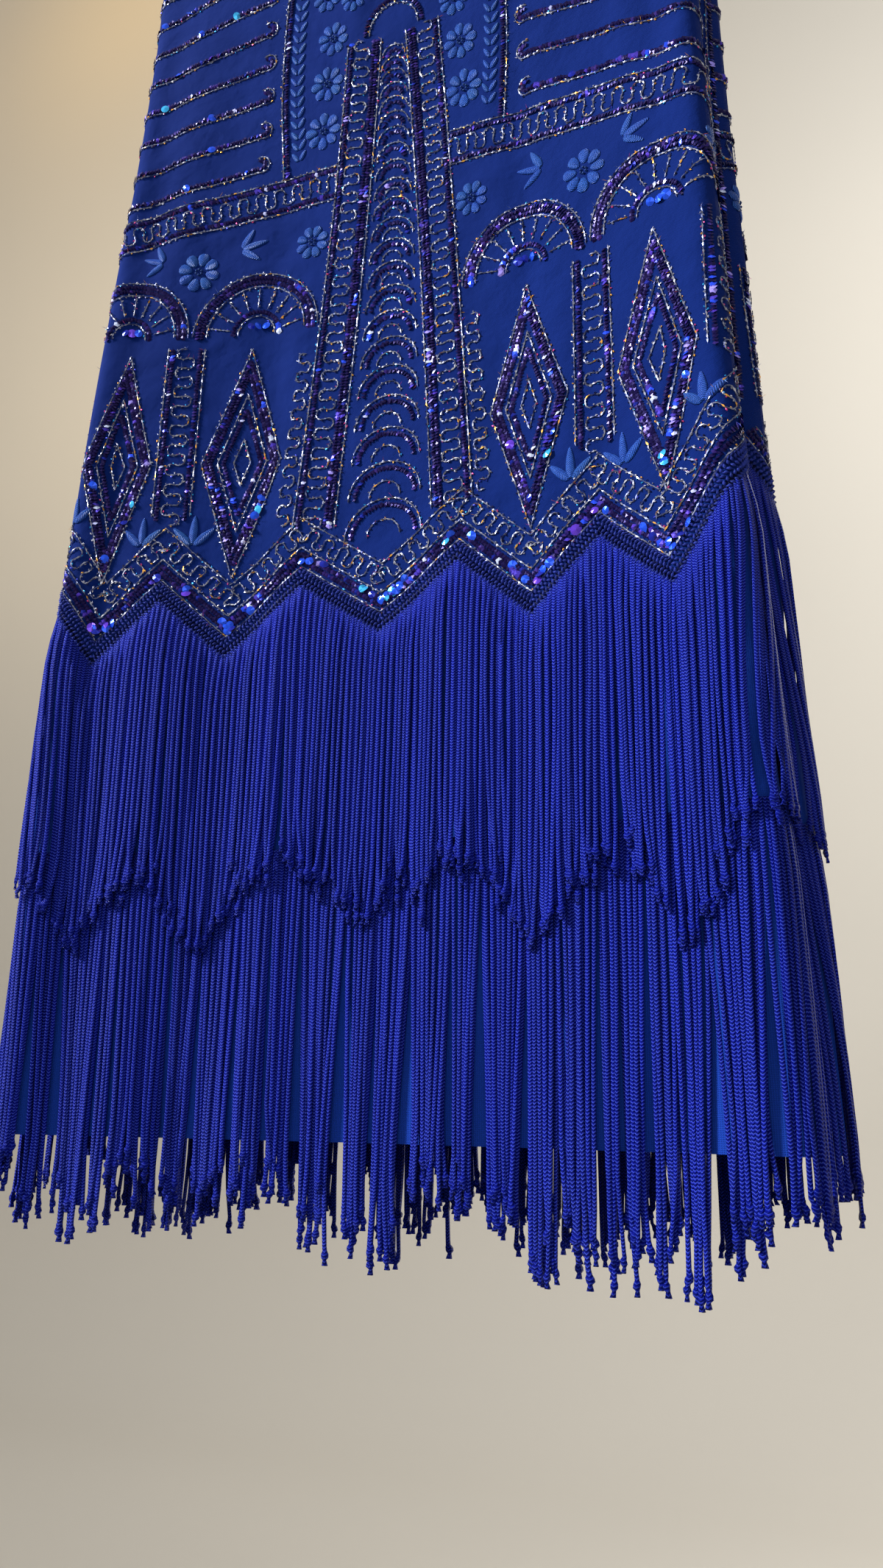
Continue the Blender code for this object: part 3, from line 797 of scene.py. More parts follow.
def hang_strands(heap, panel, s_top, s_foot, top_z, end_z, out_top, out_mid, out_end, rng):
    """Add all strands of a tier, each with its own lean, wobble and knotted end.

    For each strand come its s at the root and at the foot, its two ends' heights, and how far
    out it lies below its root and at its end.
    """
    ring, side, faces = strand_shape()
    count = len(s_top)
    rings = STRAND_RINGS + len(KNOT)
    width = 0.5 * sizes().strand_width * rng.uniform(0.88, 1.10, count)
    knot_z = np.array([height for height, _ in KNOT])
    knot_w = np.array([share for _, share in KNOT])
    part = np.linspace(0, 1, STRAND_RINGS + 1)[:-1] ** 0.9
    z = np.empty((count, rings))
    z[:, :STRAND_RINGS] = top_z[:, None] + (end_z + KNOT[0][0] - top_z)[:, None] * part
    z[:, STRAND_RINGS:] = end_z[:, None] + knot_z
    radius = np.ones((count, rings)) * width[:, None]
    radius[:, STRAND_RINGS:] *= knot_w * rng.uniform(0.9, 1.15, (count, 1))
    t = np.clip((top_z[:, None] - z) / (top_z - end_z)[:, None], 0, 1)
    sway = rng.normal(0, 0.0022, (count, 1)) * np.sin(t * math.pi * rng.uniform(0.8, 1.6, (count, 1)))
    flick = rng.normal(0, 0.0048, (count, 1)) * smooth_step(t, 0.80, 1.0)
    s = s_top[:, None] + (s_foot - s_top)[:, None] * smooth_step(t, 0.0, 0.92) + sway + flick
    kink = rng.normal(0, 0.0024, (count, len(KNOT)))
    s[:, STRAND_RINGS:] += np.cumsum(kink, axis=1) * 0.5
    s = np.clip(s, -0.999, 0.999)
    out = out_top + (out_mid - out_top)[:, None] * smooth_step(t, 0.0, 0.16)
    out = out + (out_end - out_mid)[:, None] * smooth_step(t, 0.3, 1.0)
    centre = panel.at(s, z, out)
    outward = panel.out_of(s, z)
    outward[..., 2] = 0.0
    outward = unit(outward)
    across = np.cross(np.array([0, 0, 1.0]), outward) * -1.0
    angle = 2 * math.pi * np.arange(STRAND_SIDES) / STRAND_SIDES + math.pi / 2
    circle = (np.cos(angle)[:, None] * across[:, :, None, :]
              + np.sin(angle)[:, None] * outward[:, :, None, :])
    corners = centre[:, :, None, :] + circle * radius[:, :, None, None]
    points = corners[:, ring, side]
    maps = np.empty((count, len(ring), 2))
    maps[:, :, 0] = ((side + STRAND_SIDES // 2) % STRAND_SIDES) / STRAND_SIDES
    maps[:, :, 1] = z[:, ring] * rng.uniform(0.92, 1.08, (count, 1)) + rng.uniform(0, 0.0016, (count, 1))
    # A tint's first part is the strand's tone, and its third part marks the knot, which is painted darker
    # as the shade in its tangle
    tints = np.ones((count, len(ring), 4))
    tints[:, :, 0] = rng.uniform(0.0, 1.0, (count, 1))
    tints[:, :, 2] = ring >= STRAND_RINGS + 1
    heap.add(points, faces, maps, tints)


def turned_out(item):
    """Turn all faces of a closed piece outwards."""
    deselect()
    item.select_set(True)
    bpy.context.view_layer.objects.active = item
    bpy.ops.object.mode_set(mode="EDIT")
    bpy.ops.mesh.select_all(action="SELECT")
    bpy.ops.mesh.normals_make_consistent(inside=False)
    bpy.ops.object.mode_set(mode="OBJECT")
    item.select_set(False)


def chainette():
    """Satin cord: a herringbone of small loops along each strand, with painted shade in its grooves and a
    painted highlight on the loops.
    """
    paint = Paint("chainette", roughness=0.46, Sheen_Weight=0.03, Sheen_Roughness=0.35,
                  Sheen_Tint=BLUE_SHEEN, Specular_IOR_Level=0.17, Specular_Tint=(0.13, 0.22, 1.0, 1.0))
    around, along = paint.sewing()
    slant = abs((around * 2.0) % 1.0 - 0.5)
    loops = ((along * (2 * math.pi / 0.0016)) + slant * 8.5).sine() * 0.5 + 0.5
    tint = paint.node("ShaderNodeSeparateColor", None, {0: paint.tint()})
    blue = tuple(colours().fringe)
    tone = paint.mix(paint.number(tint.outputs[0]), shade(blue, 0.74), shade(blue, 1.16))
    # Painted shade: darker in the grooves between the loops
    tone = paint.mix(loops, paint.mix(0.70, tone, (0.0, 0.0, blue[2] * 0.12, 1.0)), tone)
    # Painted highlight: paler and lighter on the tops of the loops
    tone = paint.mix((loops ** 5.0) * 0.90, tone, (blue[0] * 17, blue[1] * 10, blue[2] * 1.40, 1.0))
    # Painted shade: the knotted end is made darker
    tone = paint.mix(paint.number(tint.outputs[2]) * 0.45, tone, shade(blue, 0.45))
    paint.feed("Base Color", tone)
    paint.bump(loops, 0.0006, 0.9)
    return paint.material


def tier_places(rng):
    """s of each strand's root, in even steps with a little scatter."""
    pitch = sizes().strand_pitch / HALF_CUT
    count = int(2.0 / pitch)
    s = -1.0 + (np.arange(count) + 0.5) * 2.0 / count
    return s + rng.normal(0, 0.0009, count)


class DRESS_OT_upper_fringe(bpy.types.Operator):
    """Hang the upper tier of strands from the zigzag braid."""
    bl_idname = "dress.upper_fringe"
    bl_label = "Upper fringe"

    def execute(self, context):
        material = chainette()
        for panel, rng, heap in each_panel(410):
            s = tier_places(rng)
            count = len(s)
            groups = Groups(count, rng, 5, 18)
            top = braid_foot(np.abs(s)) + ROOT_RISE
            end = top - sizes().strand_length + 0.006 - groups.ends(rng, 0.0040, 0.0034, 0.05, 0.012)
            # A few strands are shorter, but all hide the lower tier's heading
            end += np.where(rng.random(count) < 0.06, rng.uniform(0.008, 0.028, count), 0.0)
            end = np.minimum(end, TIER_TOP_Z - 0.012 + rng.normal(0, 0.004, count))
            feet = UPPER.feet_width * groups.feet(s, rng, 0.0, 0.15, 0.0016)
            layer = (np.arange(count) % 2) * SECOND_LAYER
            out_middle = UPPER.middle_out + layer + rng.normal(0, 0.0003, count)
            out_end = UPPER.end_out + layer + rng.normal(0, 0.0005, count)
            hang_strands(heap, panel, s, feet, top, end, UPPER.root_out, out_middle, out_end, rng)
            item = heap.build("upper_strands_" + panel.label, material)
            turned_out(item)
            finished(item, "fringe", "fringe_upper_" + panel.label)
        return {"FINISHED"}


class DRESS_OT_lower_fringe(bpy.types.Operator):
    """Hang the lower tier of strands from its heading on the inner layer."""
    bl_idname = "dress.lower_fringe"
    bl_label = "Lower fringe"

    def execute(self, context):
        material = chainette()
        for panel, rng, heap in each_panel(730):
            s = tier_places(rng)
            count = len(s)
            groups = Groups(count, rng, 4, 18)
            top = np.full(count, TIER_TOP_Z - HEADING_DROP)
            # The tier hangs lower on the viewer's right and a little higher at both sides
            seen = s * SIDE[panel.label]
            swell = 0.013 * np.exp(-((seen - 0.50) / 0.24) ** 2) + 0.004 * np.sin(11.0 * seen + 2.0)
            swell -= 0.012 * smooth_step(np.abs(seen), 0.78, 1.0)
            end = LOWER_END_Z - swell - groups.ends(rng, 0.0075, 0.0060, 0.11, 0.020)
            end = np.clip(end, LOWEST_Z + 0.001 + rng.uniform(0, 0.006, count), SHORTEST_END_Z)
            feet = LOWER.feet_width * groups.feet(s, rng, 0.12, 0.50, 0.0042)
            layer = (np.arange(count) % 2) * SECOND_LAYER
            out_middle = LOWER.middle_out + layer + rng.normal(0, 0.0002, count)
            out_end = LOWER.end_out + layer + rng.normal(0, 0.0006, count)
            hang_strands(heap, panel, s, feet, top, end, LOWER.root_out, out_middle, out_end, rng)
            item = heap.build("lower_strands_" + panel.label, material)
            turned_out(item)
            finished(item, "fringe", "fringe_lower_" + panel.label)
        return {"FINISHED"}


# Laying small shapes along lines

FINE_STEP = 0.0007        # between the points that a line is measured at
MITRE_LIMIT = 0.45


def along_path(panel, path, pitch, out, start=0.0):
    """Even stations along a line of (p, z) corners: places, directions ahead, and outwards."""
    flat = distances(path)
    fine = np.linspace(0, flat[-1], max(int(flat[-1] / FINE_STEP), 4))
    p, z = between(fine, flat, path).T
    s = panel.to_s(p)
    inside = (np.abs(s) <= 1.0) & (z < upper_edge(np.abs(s), panel.back) - 0.002)
    points = panel.at(s, z, out)
    lengths = distances(points)
    count = max(int(lengths[-1] / pitch), 1)
    wanted = (np.arange(count) + 0.5 + start) * lengths[-1] / count
    spots = between(wanted, lengths, points)
    ahead = unit(between(wanted, lengths, np.gradient(points, axis=0)))
    outward = panel.out_of(np.interp(wanted, lengths, s), np.interp(wanted, lengths, z))
    keep = np.interp(wanted, lengths, inside.astype(float)) > 0.5
    return spots[keep], ahead[keep], outward[keep]


def placed(shape, spots, ahead, outward):
    """Copies of a shape: its X runs ahead, its Z outwards."""
    beside = np.cross(outward, ahead)
    return (spots[:, None] + shape[..., 0, None] * ahead[:, None] + shape[..., 1, None] * beside[:, None]
            + shape[..., 2, None] * outward[:, None])


def turned(shape, angle, axis):
    """Copies of a shape, each turned by its own angle round one of its axes."""
    cosine, sine = np.cos(angle)[:, None], np.sin(angle)[:, None]
    result = np.broadcast_to(shape, (len(angle), *shape.shape[-2:])).copy()
    first, second = [(1, 2), (2, 0), (0, 1)][axis]
    a, b = result[..., first].copy(), result[..., second].copy()
    result[..., first] = cosine * a - sine * b
    result[..., second] = sine * a + cosine * b
    return result


def facets(sides, base, rim):
    """A cone of width 1 whose point is 0.5 high, with the heights of its base's centre and its rim."""
    deselect()
    bpy.ops.mesh.primitive_cone_add(vertices=sides, radius1=0.5, radius2=0.0, depth=1.0,
                                    end_fill_type="TRIFAN")
    points, faces = take_new()
    middle = np.hypot(points[:, 0], points[:, 1]) < 1e-6
    points[:, 2] = np.where(middle, np.where(points[:, 2] > 0, 0.5, base), rim)
    return points, faces


def spindle(sides, long, wide, high):
    """A small faceted grain along X that tapers to both ends."""
    points, faces = facets(sides, -0.5, 0.0)
    return points[:, [2, 0, 1]] * (long, wide, high), faces


def disc(sides, width, height):
    """A sequin: a low cone with a slightly pressed underside."""
    points, faces = facets(sides, -0.4, -0.1)
    return points * (width, width, height), faces


def left_of(ways):
    """Flat directions, each turned a quarter to its left."""
    return np.stack([-ways[:, 1], ways[:, 0]], 1)


def offset(path, distance):
    """A line beside another, with mitred corners. Positive is to its left."""
    ways = unit(np.diff(path, axis=0))
    before = np.vstack([ways[:1], ways])
    after = np.vstack([ways, ways[-1:]])
    normals = left_of(unit(before + after))
    shrink = np.clip(np.sum(normals * left_of(before), axis=1), MITRE_LIMIT, 1.0)
    return path + normals * (distance / shrink)[:, None]


def both(paths):
    """Lines and their mirror images across the panel's middle."""
    paths = list(paths)
    return paths + [np.asarray(path) * (-1.0, 1.0) for path in paths]


def closed(corners):
    return np.vstack([corners, corners[:1]])


def curve(corners, steps=12):
    """A smooth line through its corners."""
    corners = np.asarray(corners, float)
    slopes = np.gradient(corners, axis=0)
    t = np.linspace(0, 1, steps, endpoint=False)[:, None]
    spans = zip(corners[:-1], corners[1:], slopes[:-1], slopes[1:])
    return np.vstack([smooth_curve(*span, t) for span in spans] + [corners[-1:]])


def arc(centre, radius_p, radius_z, start, finish, steps=24):
    """Part of an ellipse, from start to finish in degrees."""
    angle = np.radians(np.linspace(start, finish, steps + 1))
    return np.stack([centre[0] + radius_p * np.cos(angle), centre[1] + radius_z * np.sin(angle)], 1)


LOOP_OVERHANG = 0.125     # how far a meander's loops lean back over each other, in periods


def meander(path, swing, period):
    """A wave of round loops that runs along a line."""
    flat = distances(path)
    turns = max(int(round(flat[-1] / period)), 1)
    t = np.linspace(0, turns, turns * 20 + 1)
    forward = (t - LOOP_OVERHANG * np.sin(4 * math.pi * t)) * flat[-1] / turns
    forward = np.clip(forward, 0, flat[-1])
    ways = unit(np.diff(path, axis=0))
    nearest = np.clip(np.searchsorted(flat, forward, side="right") - 1, 0, len(ways) - 1)
    wave = swing * np.sin(2 * math.pi * t)
    return between(forward, flat, path) + left_of(ways[nearest]) * wave[:, None]


# Layout of the beadwork: a general fan, scale and lozenge pattern of its own. Each function
# gives the lines of one motif for the viewer's right half, as a list of metallic ones and a
# list of dark ones. Lengths are in metres, as (p, z).

BORDER_SILVER = (0.0122, 0.0222, 0.0375)      # over the braid's foot
BORDER_DARK = (0.0154, 0.0187)
BORDER_WAVE = 0.0299


def zigzag(over):
    """The hem's zigzag from -X to +X, over metres above the braid's foot."""
    half = [(corner.u * HALF_CUT, TIP_Z + corner.rise) for corner in ZIGZAG]
    line = [(-p, z) for p, z in half[:0:-1]] + half
    return offset(line, over)


def over_hem(p, height):
    """A height over the braid's foot, as z."""
    return float(braid_foot(abs(p) / HALF_CUT)) + height


def over_border(p, gap=0.0045):
    """z a little over the top line of the hem's border."""
    line = zigzag(BORDER_SILVER[-1])
    return float(np.interp(abs(p), line[:, 0], line[:, 1])) + gap


Lozenge = namedtuple("Lozenge", "p z half_width above below lean")
LOZENGES = [
    Lozenge(0.098, -0.735, 0.0262, 0.080, 0.078, 0.000),
    Lozenge(0.181, -0.735, 0.0240, 0.080, 0.080, 0.003),
]
LOZENGE_SILVER = (1.0, 0.60, 0.20)
LOZENGE_DARK = (0.89, 0.78, 0.46)


def lozenge(one, scale):
    """A tall four-cornered figure that stands over a tip of the hem."""
    return closed(np.array([
        (one.p, one.z - one.below * scale), (one.p + one.half_width * scale, one.z),
        (one.p + one.lean, one.z + one.above * scale), (one.p - one.half_width * scale, one.z)]))


def lozenges():
    return ([lozenge(one, scale) for one in LOZENGES for scale in LOZENGE_SILVER],
            [lozenge(one, scale) for one in LOZENGES for scale in LOZENGE_DARK])


COLUMN_SIDE = [(0.033, -0.787), (0.010, -0.440)]    # inner edge of the middle column's border
SCALES_FOOT_Z = -0.797
SCALES_TOP_Z = -0.452
SCALE_REACH = [(-0.812, 0.0265), (-0.440, 0.0085)]    # z and a scale's half width there
CAP = (0.0, -0.436)       # middle of the arch over the scales
MEANDER_PERIOD = 0.0132
BESIDE = 0.0032           # from a metallic line to the sequins beside it


def middle_column():
    """Stacked scales between two borders that lean together, each with a meander."""
    silver = [np.array(COLUMN_SIDE), offset(COLUMN_SIDE, -0.0268),
              meander(offset(COLUMN_SIDE, -0.0150), 0.0060, MEANDER_PERIOD)]
    dark = [offset(COLUMN_SIDE, -BESIDE), offset(COLUMN_SIDE, -0.0062), offset(COLUMN_SIDE, -0.0236)]
    z = SCALES_FOOT_Z
    while z < SCALES_TOP_Z:
        reach = float(np.interp(z, *zip(*SCALE_REACH)))
        silver.append(arc((0.0, z), reach, reach * 0.92, 0, 90, 12))
        dark.append(arc((0.0, z), reach - 0.0042, reach * 0.92 - 0.0042, 0, 90, 10))
        if reach > 0.014:
            silver.append(arc((0.0, z), reach * 0.42, reach * 0.40, 0, 90, 8))
        z += reach * 0.98
    return silver + [arc(CAP, 0.020, 0.020, 0, 90, 10)], dark + [arc(CAP, 0.0235, 0.0235, 0, 90, 10)]


Ray = namedtuple("Ray", "p top")
RAYS = [Ray(0.1400, -0.652), Ray(0.2225, -0.656)]
RAY_LEAN = 0.003
RAY_HALF = 0.0092
SHORT_RAY = Ray(0.0592, -0.664)
SEAM_LINE = [(0.2475, -0.745), (0.2475, -0.320)]


def rays():
    """Upright bands between the lozenges, each with a meander, and a line along the side seam."""
    silver, dark = [], []
    for ray in RAYS:
        foot = over_border(ray.p + 0.004)
        silver.append(meander([(ray.p, foot), (ray.p + RAY_LEAN, ray.top)], 0.0060, MEANDER_PERIOD))
        for side in (-1, 1):
            for lines, out, up in ((dark, RAY_HALF, 0.003), (silver, RAY_HALF + BESIDE, 0.006)):
                lines.append(np.array([(ray.p + side * out, foot + up),
                                       (ray.p + RAY_LEAN + side * out, ray.top)]))
    foot_p = SHORT_RAY.p + 0.008
    silver.append(meander([(foot_p, over_border(foot_p) + 0.004), SHORT_RAY], 0.0042, 0.0125))
    return silver + [np.array(SEAM_LINE)], dark + [offset(SEAM_LINE, BESIDE)]


FANS = [(0.0965, -0.6430), (0.1875, -0.6430)]
FAN_SILVER = (0.0125, 0.0345, 0.0440)
FAN_DARK = (0.0158, 0.0377, 0.0409)
FAN_SPOKES = 9
SPOKE = (0.0190, 0.0325)


def fans():
    """A half-round fan over each lozenge, with spokes and a banded rim."""
    silver, dark = [], []
    for p, z in FANS:
        silver += [arc((p, z), reach, reach, 0, 180) for reach in FAN_SILVER]
        dark += [arc((p, z), reach, reach, -3, 183) for reach in FAN_DARK]
        for angle in np.radians(np.linspace(10, 170, FAN_SPOKES)):
            way = np.array([math.cos(angle), math.sin(angle)])
            silver.append(np.array([(p, z) + way * reach for reach in SPOKE]))
    return silver, dark


SASH_HALF = 0.0125


def sash():
    """A curved band with a meander that sweeps over the fans, from the middle to the side."""
    middle = arc((0.020, -0.690), 0.340, 0.150, 46, 86, 40)
    return ([meander(middle, 0.0064, 0.0140), offset(middle, -SASH_HALF), offset(middle, SASH_HALF)],
            [offset(middle, -0.0094), offset(middle, 0.0094)])


BARS = 8
BAR_STEP = 0.0270
BAR_FOOT_Z = -0.518
# Corners of a bar: p, and z over its scroll
BAR_LINE = [(0.130, -0.006), (0.165, -0.013), (0.205, -0.023), (0.243, -0.033)]
INNER_LINE = [(0.086, -0.530), (0.091, -0.460), (0.089, -0.390), (0.080, -0.318)]


def bars():
    """Rising bars at the side, each with a scroll at its inner end."""
    silver, dark = [], []
    for number in range(BARS):
        z = BAR_FOOT_Z + BAR_STEP * number
        scroll = arc((0.104, z + 0.0035), 0.0062, 0.0062, 60, 290, 14)
        line = np.vstack([scroll, np.array(BAR_LINE) + (0.0, z)])
        silver.append(line)
        dark.append(offset(line, 0.0031))
    inner = curve(INNER_LINE)
    return silver + [inner], dark + [offset(inner, BESIDE)]


CHEVRONS = 5
CHEVRON_STEP = 0.030
CHEVRON_FOOT_Z = -0.392


def chevrons():
    """Nested chevrons under the neck."""
    silver, dark = [], []
    for number in range(CHEVRONS):
        z = CHEVRON_FOOT_Z + CHEVRON_STEP * number
        chevron = [(0.0, z), (0.068, z + 0.070)]
        silver.append(np.array(chevron))
        dark.append(offset(chevron, 0.0034))
    return silver, dark


MOTIFS = (lozenges, middle_column, rays, fans, sash, bars, chevrons)
EDGE_SILVER = (0.004, 0.0142)      # under the neckline and armhole
EDGE_DARK = (0.0075, 0.0107)


def edge_lines(back, under):
    """Lines along a panel's own neckline and armhole."""
    lines = []
    for drop in under:
        for edges in (NECKLINE, ARMHOLE[1:]):
            heights = [edge.back if back else edge.front for edge in edges]
            lines.append(np.array([(edge.u * HALF_CUT, z - drop) for edge, z in zip(edges, heights)]))
    return both(lines)


def silver_lines(back):
    """Lines of metallic thread for a whole panel."""
    hem = [zigzag(over) for over in BORDER_SILVER] + [meander(zigzag(BORDER_WAVE), 0.0050, 0.0118)]
    return hem + both(line for motif in MOTIFS for line in motif()[0]) + edge_lines(back, EDGE_SILVER)


def dark_lines(back):
    """Lines of dark sequins for a whole panel."""
    hem = [zigzag(over) for over in BORDER_DARK]
    return hem + both(line for motif in MOTIFS for line in motif()[1]) + edge_lines(back, EDGE_DARK)


Daisy = namedtuple("Daisy", "p z size")
DAISIES = [
    Daisy(0.0560, -0.499, 0.0142), Daisy(0.0540, -0.463, 0.0134), Daisy(0.0500, -0.429, 0.0128),
    Daisy(0.1420, -0.594, 0.0148), Daisy(0.0560, -0.394, 0.0118), Daisy(0.0330, -0.402, 0.0108),
    Daisy(0.0600, -0.582, 0.0122), Daisy(0.2290, -0.608, 0.0116),
]
PETALS = 8
PETAL_HEIGHT = 0.0018
DAISY_RING = 0.0022
# Leaf sprays: root, reach of the middle leaf, and the way that it points, in degrees
Spray = namedtuple("Spray", "p z reach way")
SPRAYS = [
    Spray(0.1240, over_border(0.1240, 0.003), 0.021, 90),
    Spray(0.1570, over_border(0.1570, 0.003), 0.020, 90),
    Spray(0.2050, over_border(0.2050, 0.003), 0.019, 90),
    Spray(0.1130, -0.5790, 0.020, 165), Spray(0.1690, -0.5850, 0.019, 15),
]
# Leaves of a spray: swing off its way in degrees, and share of its reach
SPRAY_LEAVES = ((-46, 0.86), (0, 1.0), (46, 0.86))
# An ear of paired leaves beside the daisies
EAR_LINE = [(0.0740, -0.522), (0.0790, -0.455), (0.0770, -0.388), (0.0690, -0.325)]
EAR_PITCH = 0.0085
EAR_SWING = 35


class DRESS_OT_couched_thread(bpy.types.Operator):
    """Sew the metallic thread on both panels, with its side glints and stray fibres."""
    bl_idname = "dress.couched_thread"
    bl_label = "Metallic thread"

    def execute(self, context):
        size = sizes()
        material = metallic_thread()
        link, link_faces = spindle(3, size.stitch_pitch * 1.75, size.thread_width, size.thread_width)
        glint, glint_faces = spindle(4, 0.0016, 0.0010, 0.0009)
        hair, hair_faces = spindle(3, 1.0, 0.00030, 0.00030)
        for panel, rng, heap in each_panel(95):
            for path in silver_lines(panel.back):
                spots, ahead, outward = along_path(panel, path, size.stitch_pitch, THREAD_OUT)
                count = len(spots)
                if not count:
                    continue
                copies = turned(link, rng.uniform(0, 2 * math.pi, count), 0)
                copies = turned(copies, rng.normal(0, 0.10, count), 2)
                copies = copies * rng.uniform(0.9, 1.1, (count, 1, 1))
                heap.add(placed(copies, spots, ahead, outward), link_faces,
                         tints=thread_tints(rng, count))
                self.add_glints(heap, glint, glint_faces, spots, ahead, outward, rng)
                self.add_hairs(heap, hair, hair_faces, spots, ahead, outward, rng)
            finished(heap.build("couched_thread_" + panel.label, material, smooth=False), "beadwork")
        return {"FINISHED"}

    def add_glints(self, heap, glint, faces, spots, ahead, outward, rng):
        """Short bright and dark bits on alternate sides of the thread."""
        side = np.where(np.arange(len(spots)) % 2, 1.0, -1.0)
        pick = rng.random(len(spots)) < 0.85
        some = int(pick.sum())
        if not some:
            return
        beside = np.cross(outward[pick], ahead[pick])
        shift = side[pick] * rng.uniform(0.0006, 0.0012, some)
        copies = turned(glint, rng.uniform(0, math.pi, some), 0)
        copies = turned(copies, rng.normal(0, 0.6, some), 2) * rng.uniform(0.7, 1.25, (some, 1, 1))
        heap.add(placed(copies, spots[pick] + beside * shift[:, None], ahead[pick], outward[pick]), faces,
                 tints=glint_tints(rng, some))

    def add_hairs(self, heap, hair, faces, spots, ahead, outward, rng):
        """Stray fibres that stand off the thread."""
        pick = rng.random(len(spots)) < 0.13
        some = int(pick.sum())
        if not some:
            return
        strays = np.broadcast_to(hair, (some, *hair.shape)).copy()
        strays[..., 0] = (strays[..., 0] + 0.5) * rng.uniform(0.0020, 0.0046, some)[:, None]
        strays = turned(strays, -rng.uniform(0.15, 1.0, some), 1)
        strays = turned(strays, rng.uniform(0, 2 * math.pi, some), 2)
        heap.add(placed(strays, spots[pick], ahead[pick], outward[pick]), faces,
                 tints=stray_tints(rng, some))


def pick_tints(rng, count, choices):
    """A colour for each copy, from (share, colour) rows."""
    shares = np.array([share for share, _ in choices])
    table = np.array([[*tone, 1.0] for _, tone in choices])
    return table[rng.choice(len(choices), count, p=shares / shares.sum())]


def thread_tints(rng, count):
    """Mostly silver, with a cool shade, a few white links, some gold and some dark gaps."""
    return pick_tints(rng, count, [
        (0.60, colours().silver), (0.25, (0.14, 0.17, 0.32)), (0.05, (0.66, 0.70, 0.82)),
        (0.03, colours().gold), (0.06, (0.030, 0.040, 0.15))])


def glint_tints(rng, count):
    """White, silver and dark bits, with gold, pink, cyan and blue ones between them."""
    return pick_tints(rng, count, [
        (0.20, (0.66, 0.68, 0.82)), (0.22, colours().silver), (0.34, (0.006, 0.008, 0.06)),
        (0.08, colours().gold), (0.04, (0.90, 0.10, 0.35)), (0.06, (0.03, 0.42, 0.95)),
        (0.04, (0.06, 0.08, 0.80))])


def stray_tints(rng, count):
    """Gold, orange, pink and pale blue fibres."""
    return pick_tints(rng, count, [
        (0.26, colours().gold), (0.16, (0.80, 0.16, 0.10)), (0.14, (0.75, 0.12, 0.50)),
        (0.44, (0.20, 0.30, 0.70))])


def metallic_thread():
    """Dull metallic foil, darker and rougher in its grain."""
    paint = Paint("metallic_thread", roughness=0.30, metallic=0.6, Specular_IOR_Level=0.3)
    grainy = paint.noise(1800.0, 2.0)
    paint.feed("Base Color", paint.mix(grainy, paint.tint(), paint.mix(0.35, paint.tint(), (0, 0, 0, 1))))
    paint.feed("Roughness", grainy * 0.3 + 0.26)
    return paint.material


LIT_RUN = 9               # sequins over which the light drifts


class DRESS_OT_sequin_lines(bpy.types.Operator):
    """Sew the lines of dark sequins on both panels."""
    bl_idname = "dress.sequin_lines"
    bl_label = "Sequin lines"

    def execute(self, context):
        size = sizes()
        material = sequin_foil()
        shape, faces = disc(5, size.sequin_size, 0.0009)
        for panel, rng, heap in each_panel(153):
            for path in dark_lines(panel.back):
                spots, ahead, outward = along_path(panel, path, size.sequin_pitch, SEQUIN_OUT)
                count = len(spots)
                if not count:
                    continue
                drift = np.convolve(rng.random(count + LIT_RUN - 1), np.full(LIT_RUN, 1 / LIT_RUN), "valid")
                lit = drift > 0.64
                copies = turned(shape, rng.uniform(0, 2 * math.pi, count), 2)
                copies = turned(copies, rng.normal(0.42, 0.12, count), 1)
                copies = turned(copies, rng.normal(0.0, 0.22, count), 0)
                copies = copies * np.where(lit, 1.25, 1.0)[:, None, None]
                tints = np.where(lit[:, None], lit_tints(rng, count), dark_tints(rng, count))
                heap.add(placed(copies, spots, ahead, outward), faces, tints=tints)
            finished(heap.build("sequin_lines_" + panel.label, material, smooth=False), "beadwork")
        return {"FINISHED"}


def dark_tints(rng, count):
    """Mostly the dark sequin's own colour; the violet, blue and pale ones among them are painted glints."""
    return pick_tints(rng, count, [
        (0.76, colours().sequin), (0.15, (0.028, 0.015, 0.150)), (0.04, (0.012, 0.022, 0.30)),
        (0.02, (0.06, 0.03, 0.40)), (0.01, (0.50, 0.55, 0.95))])


def lit_tints(rng, count):
    """Runs where the sequins catch the light in violet and blue."""
    return pick_tints(rng, count, [
        (0.42, colours().sequin), (0.26, (0.06, 0.04, 0.45)), (0.20, (0.02, 0.07, 0.80)),
        (0.08, (0.35, 0.30, 0.95)), (0.04, (0.60, 0.70, 1.0))])


def sequin_foil():
    """Dark foil with a violet shine."""
    paint = Paint("sequin_foil", roughness=0.30, metallic=0.25, Specular_IOR_Level=0.22,
                  Specular_Tint=(0.35, 0.30, 1.0, 1.0), Coat_Weight=0.08, Coat_Roughness=0.12)
    paint.feed("Base Color", paint.tint())
    return paint.material


SHORT_STEP = 0.003        # a line this long holds one loose sequin


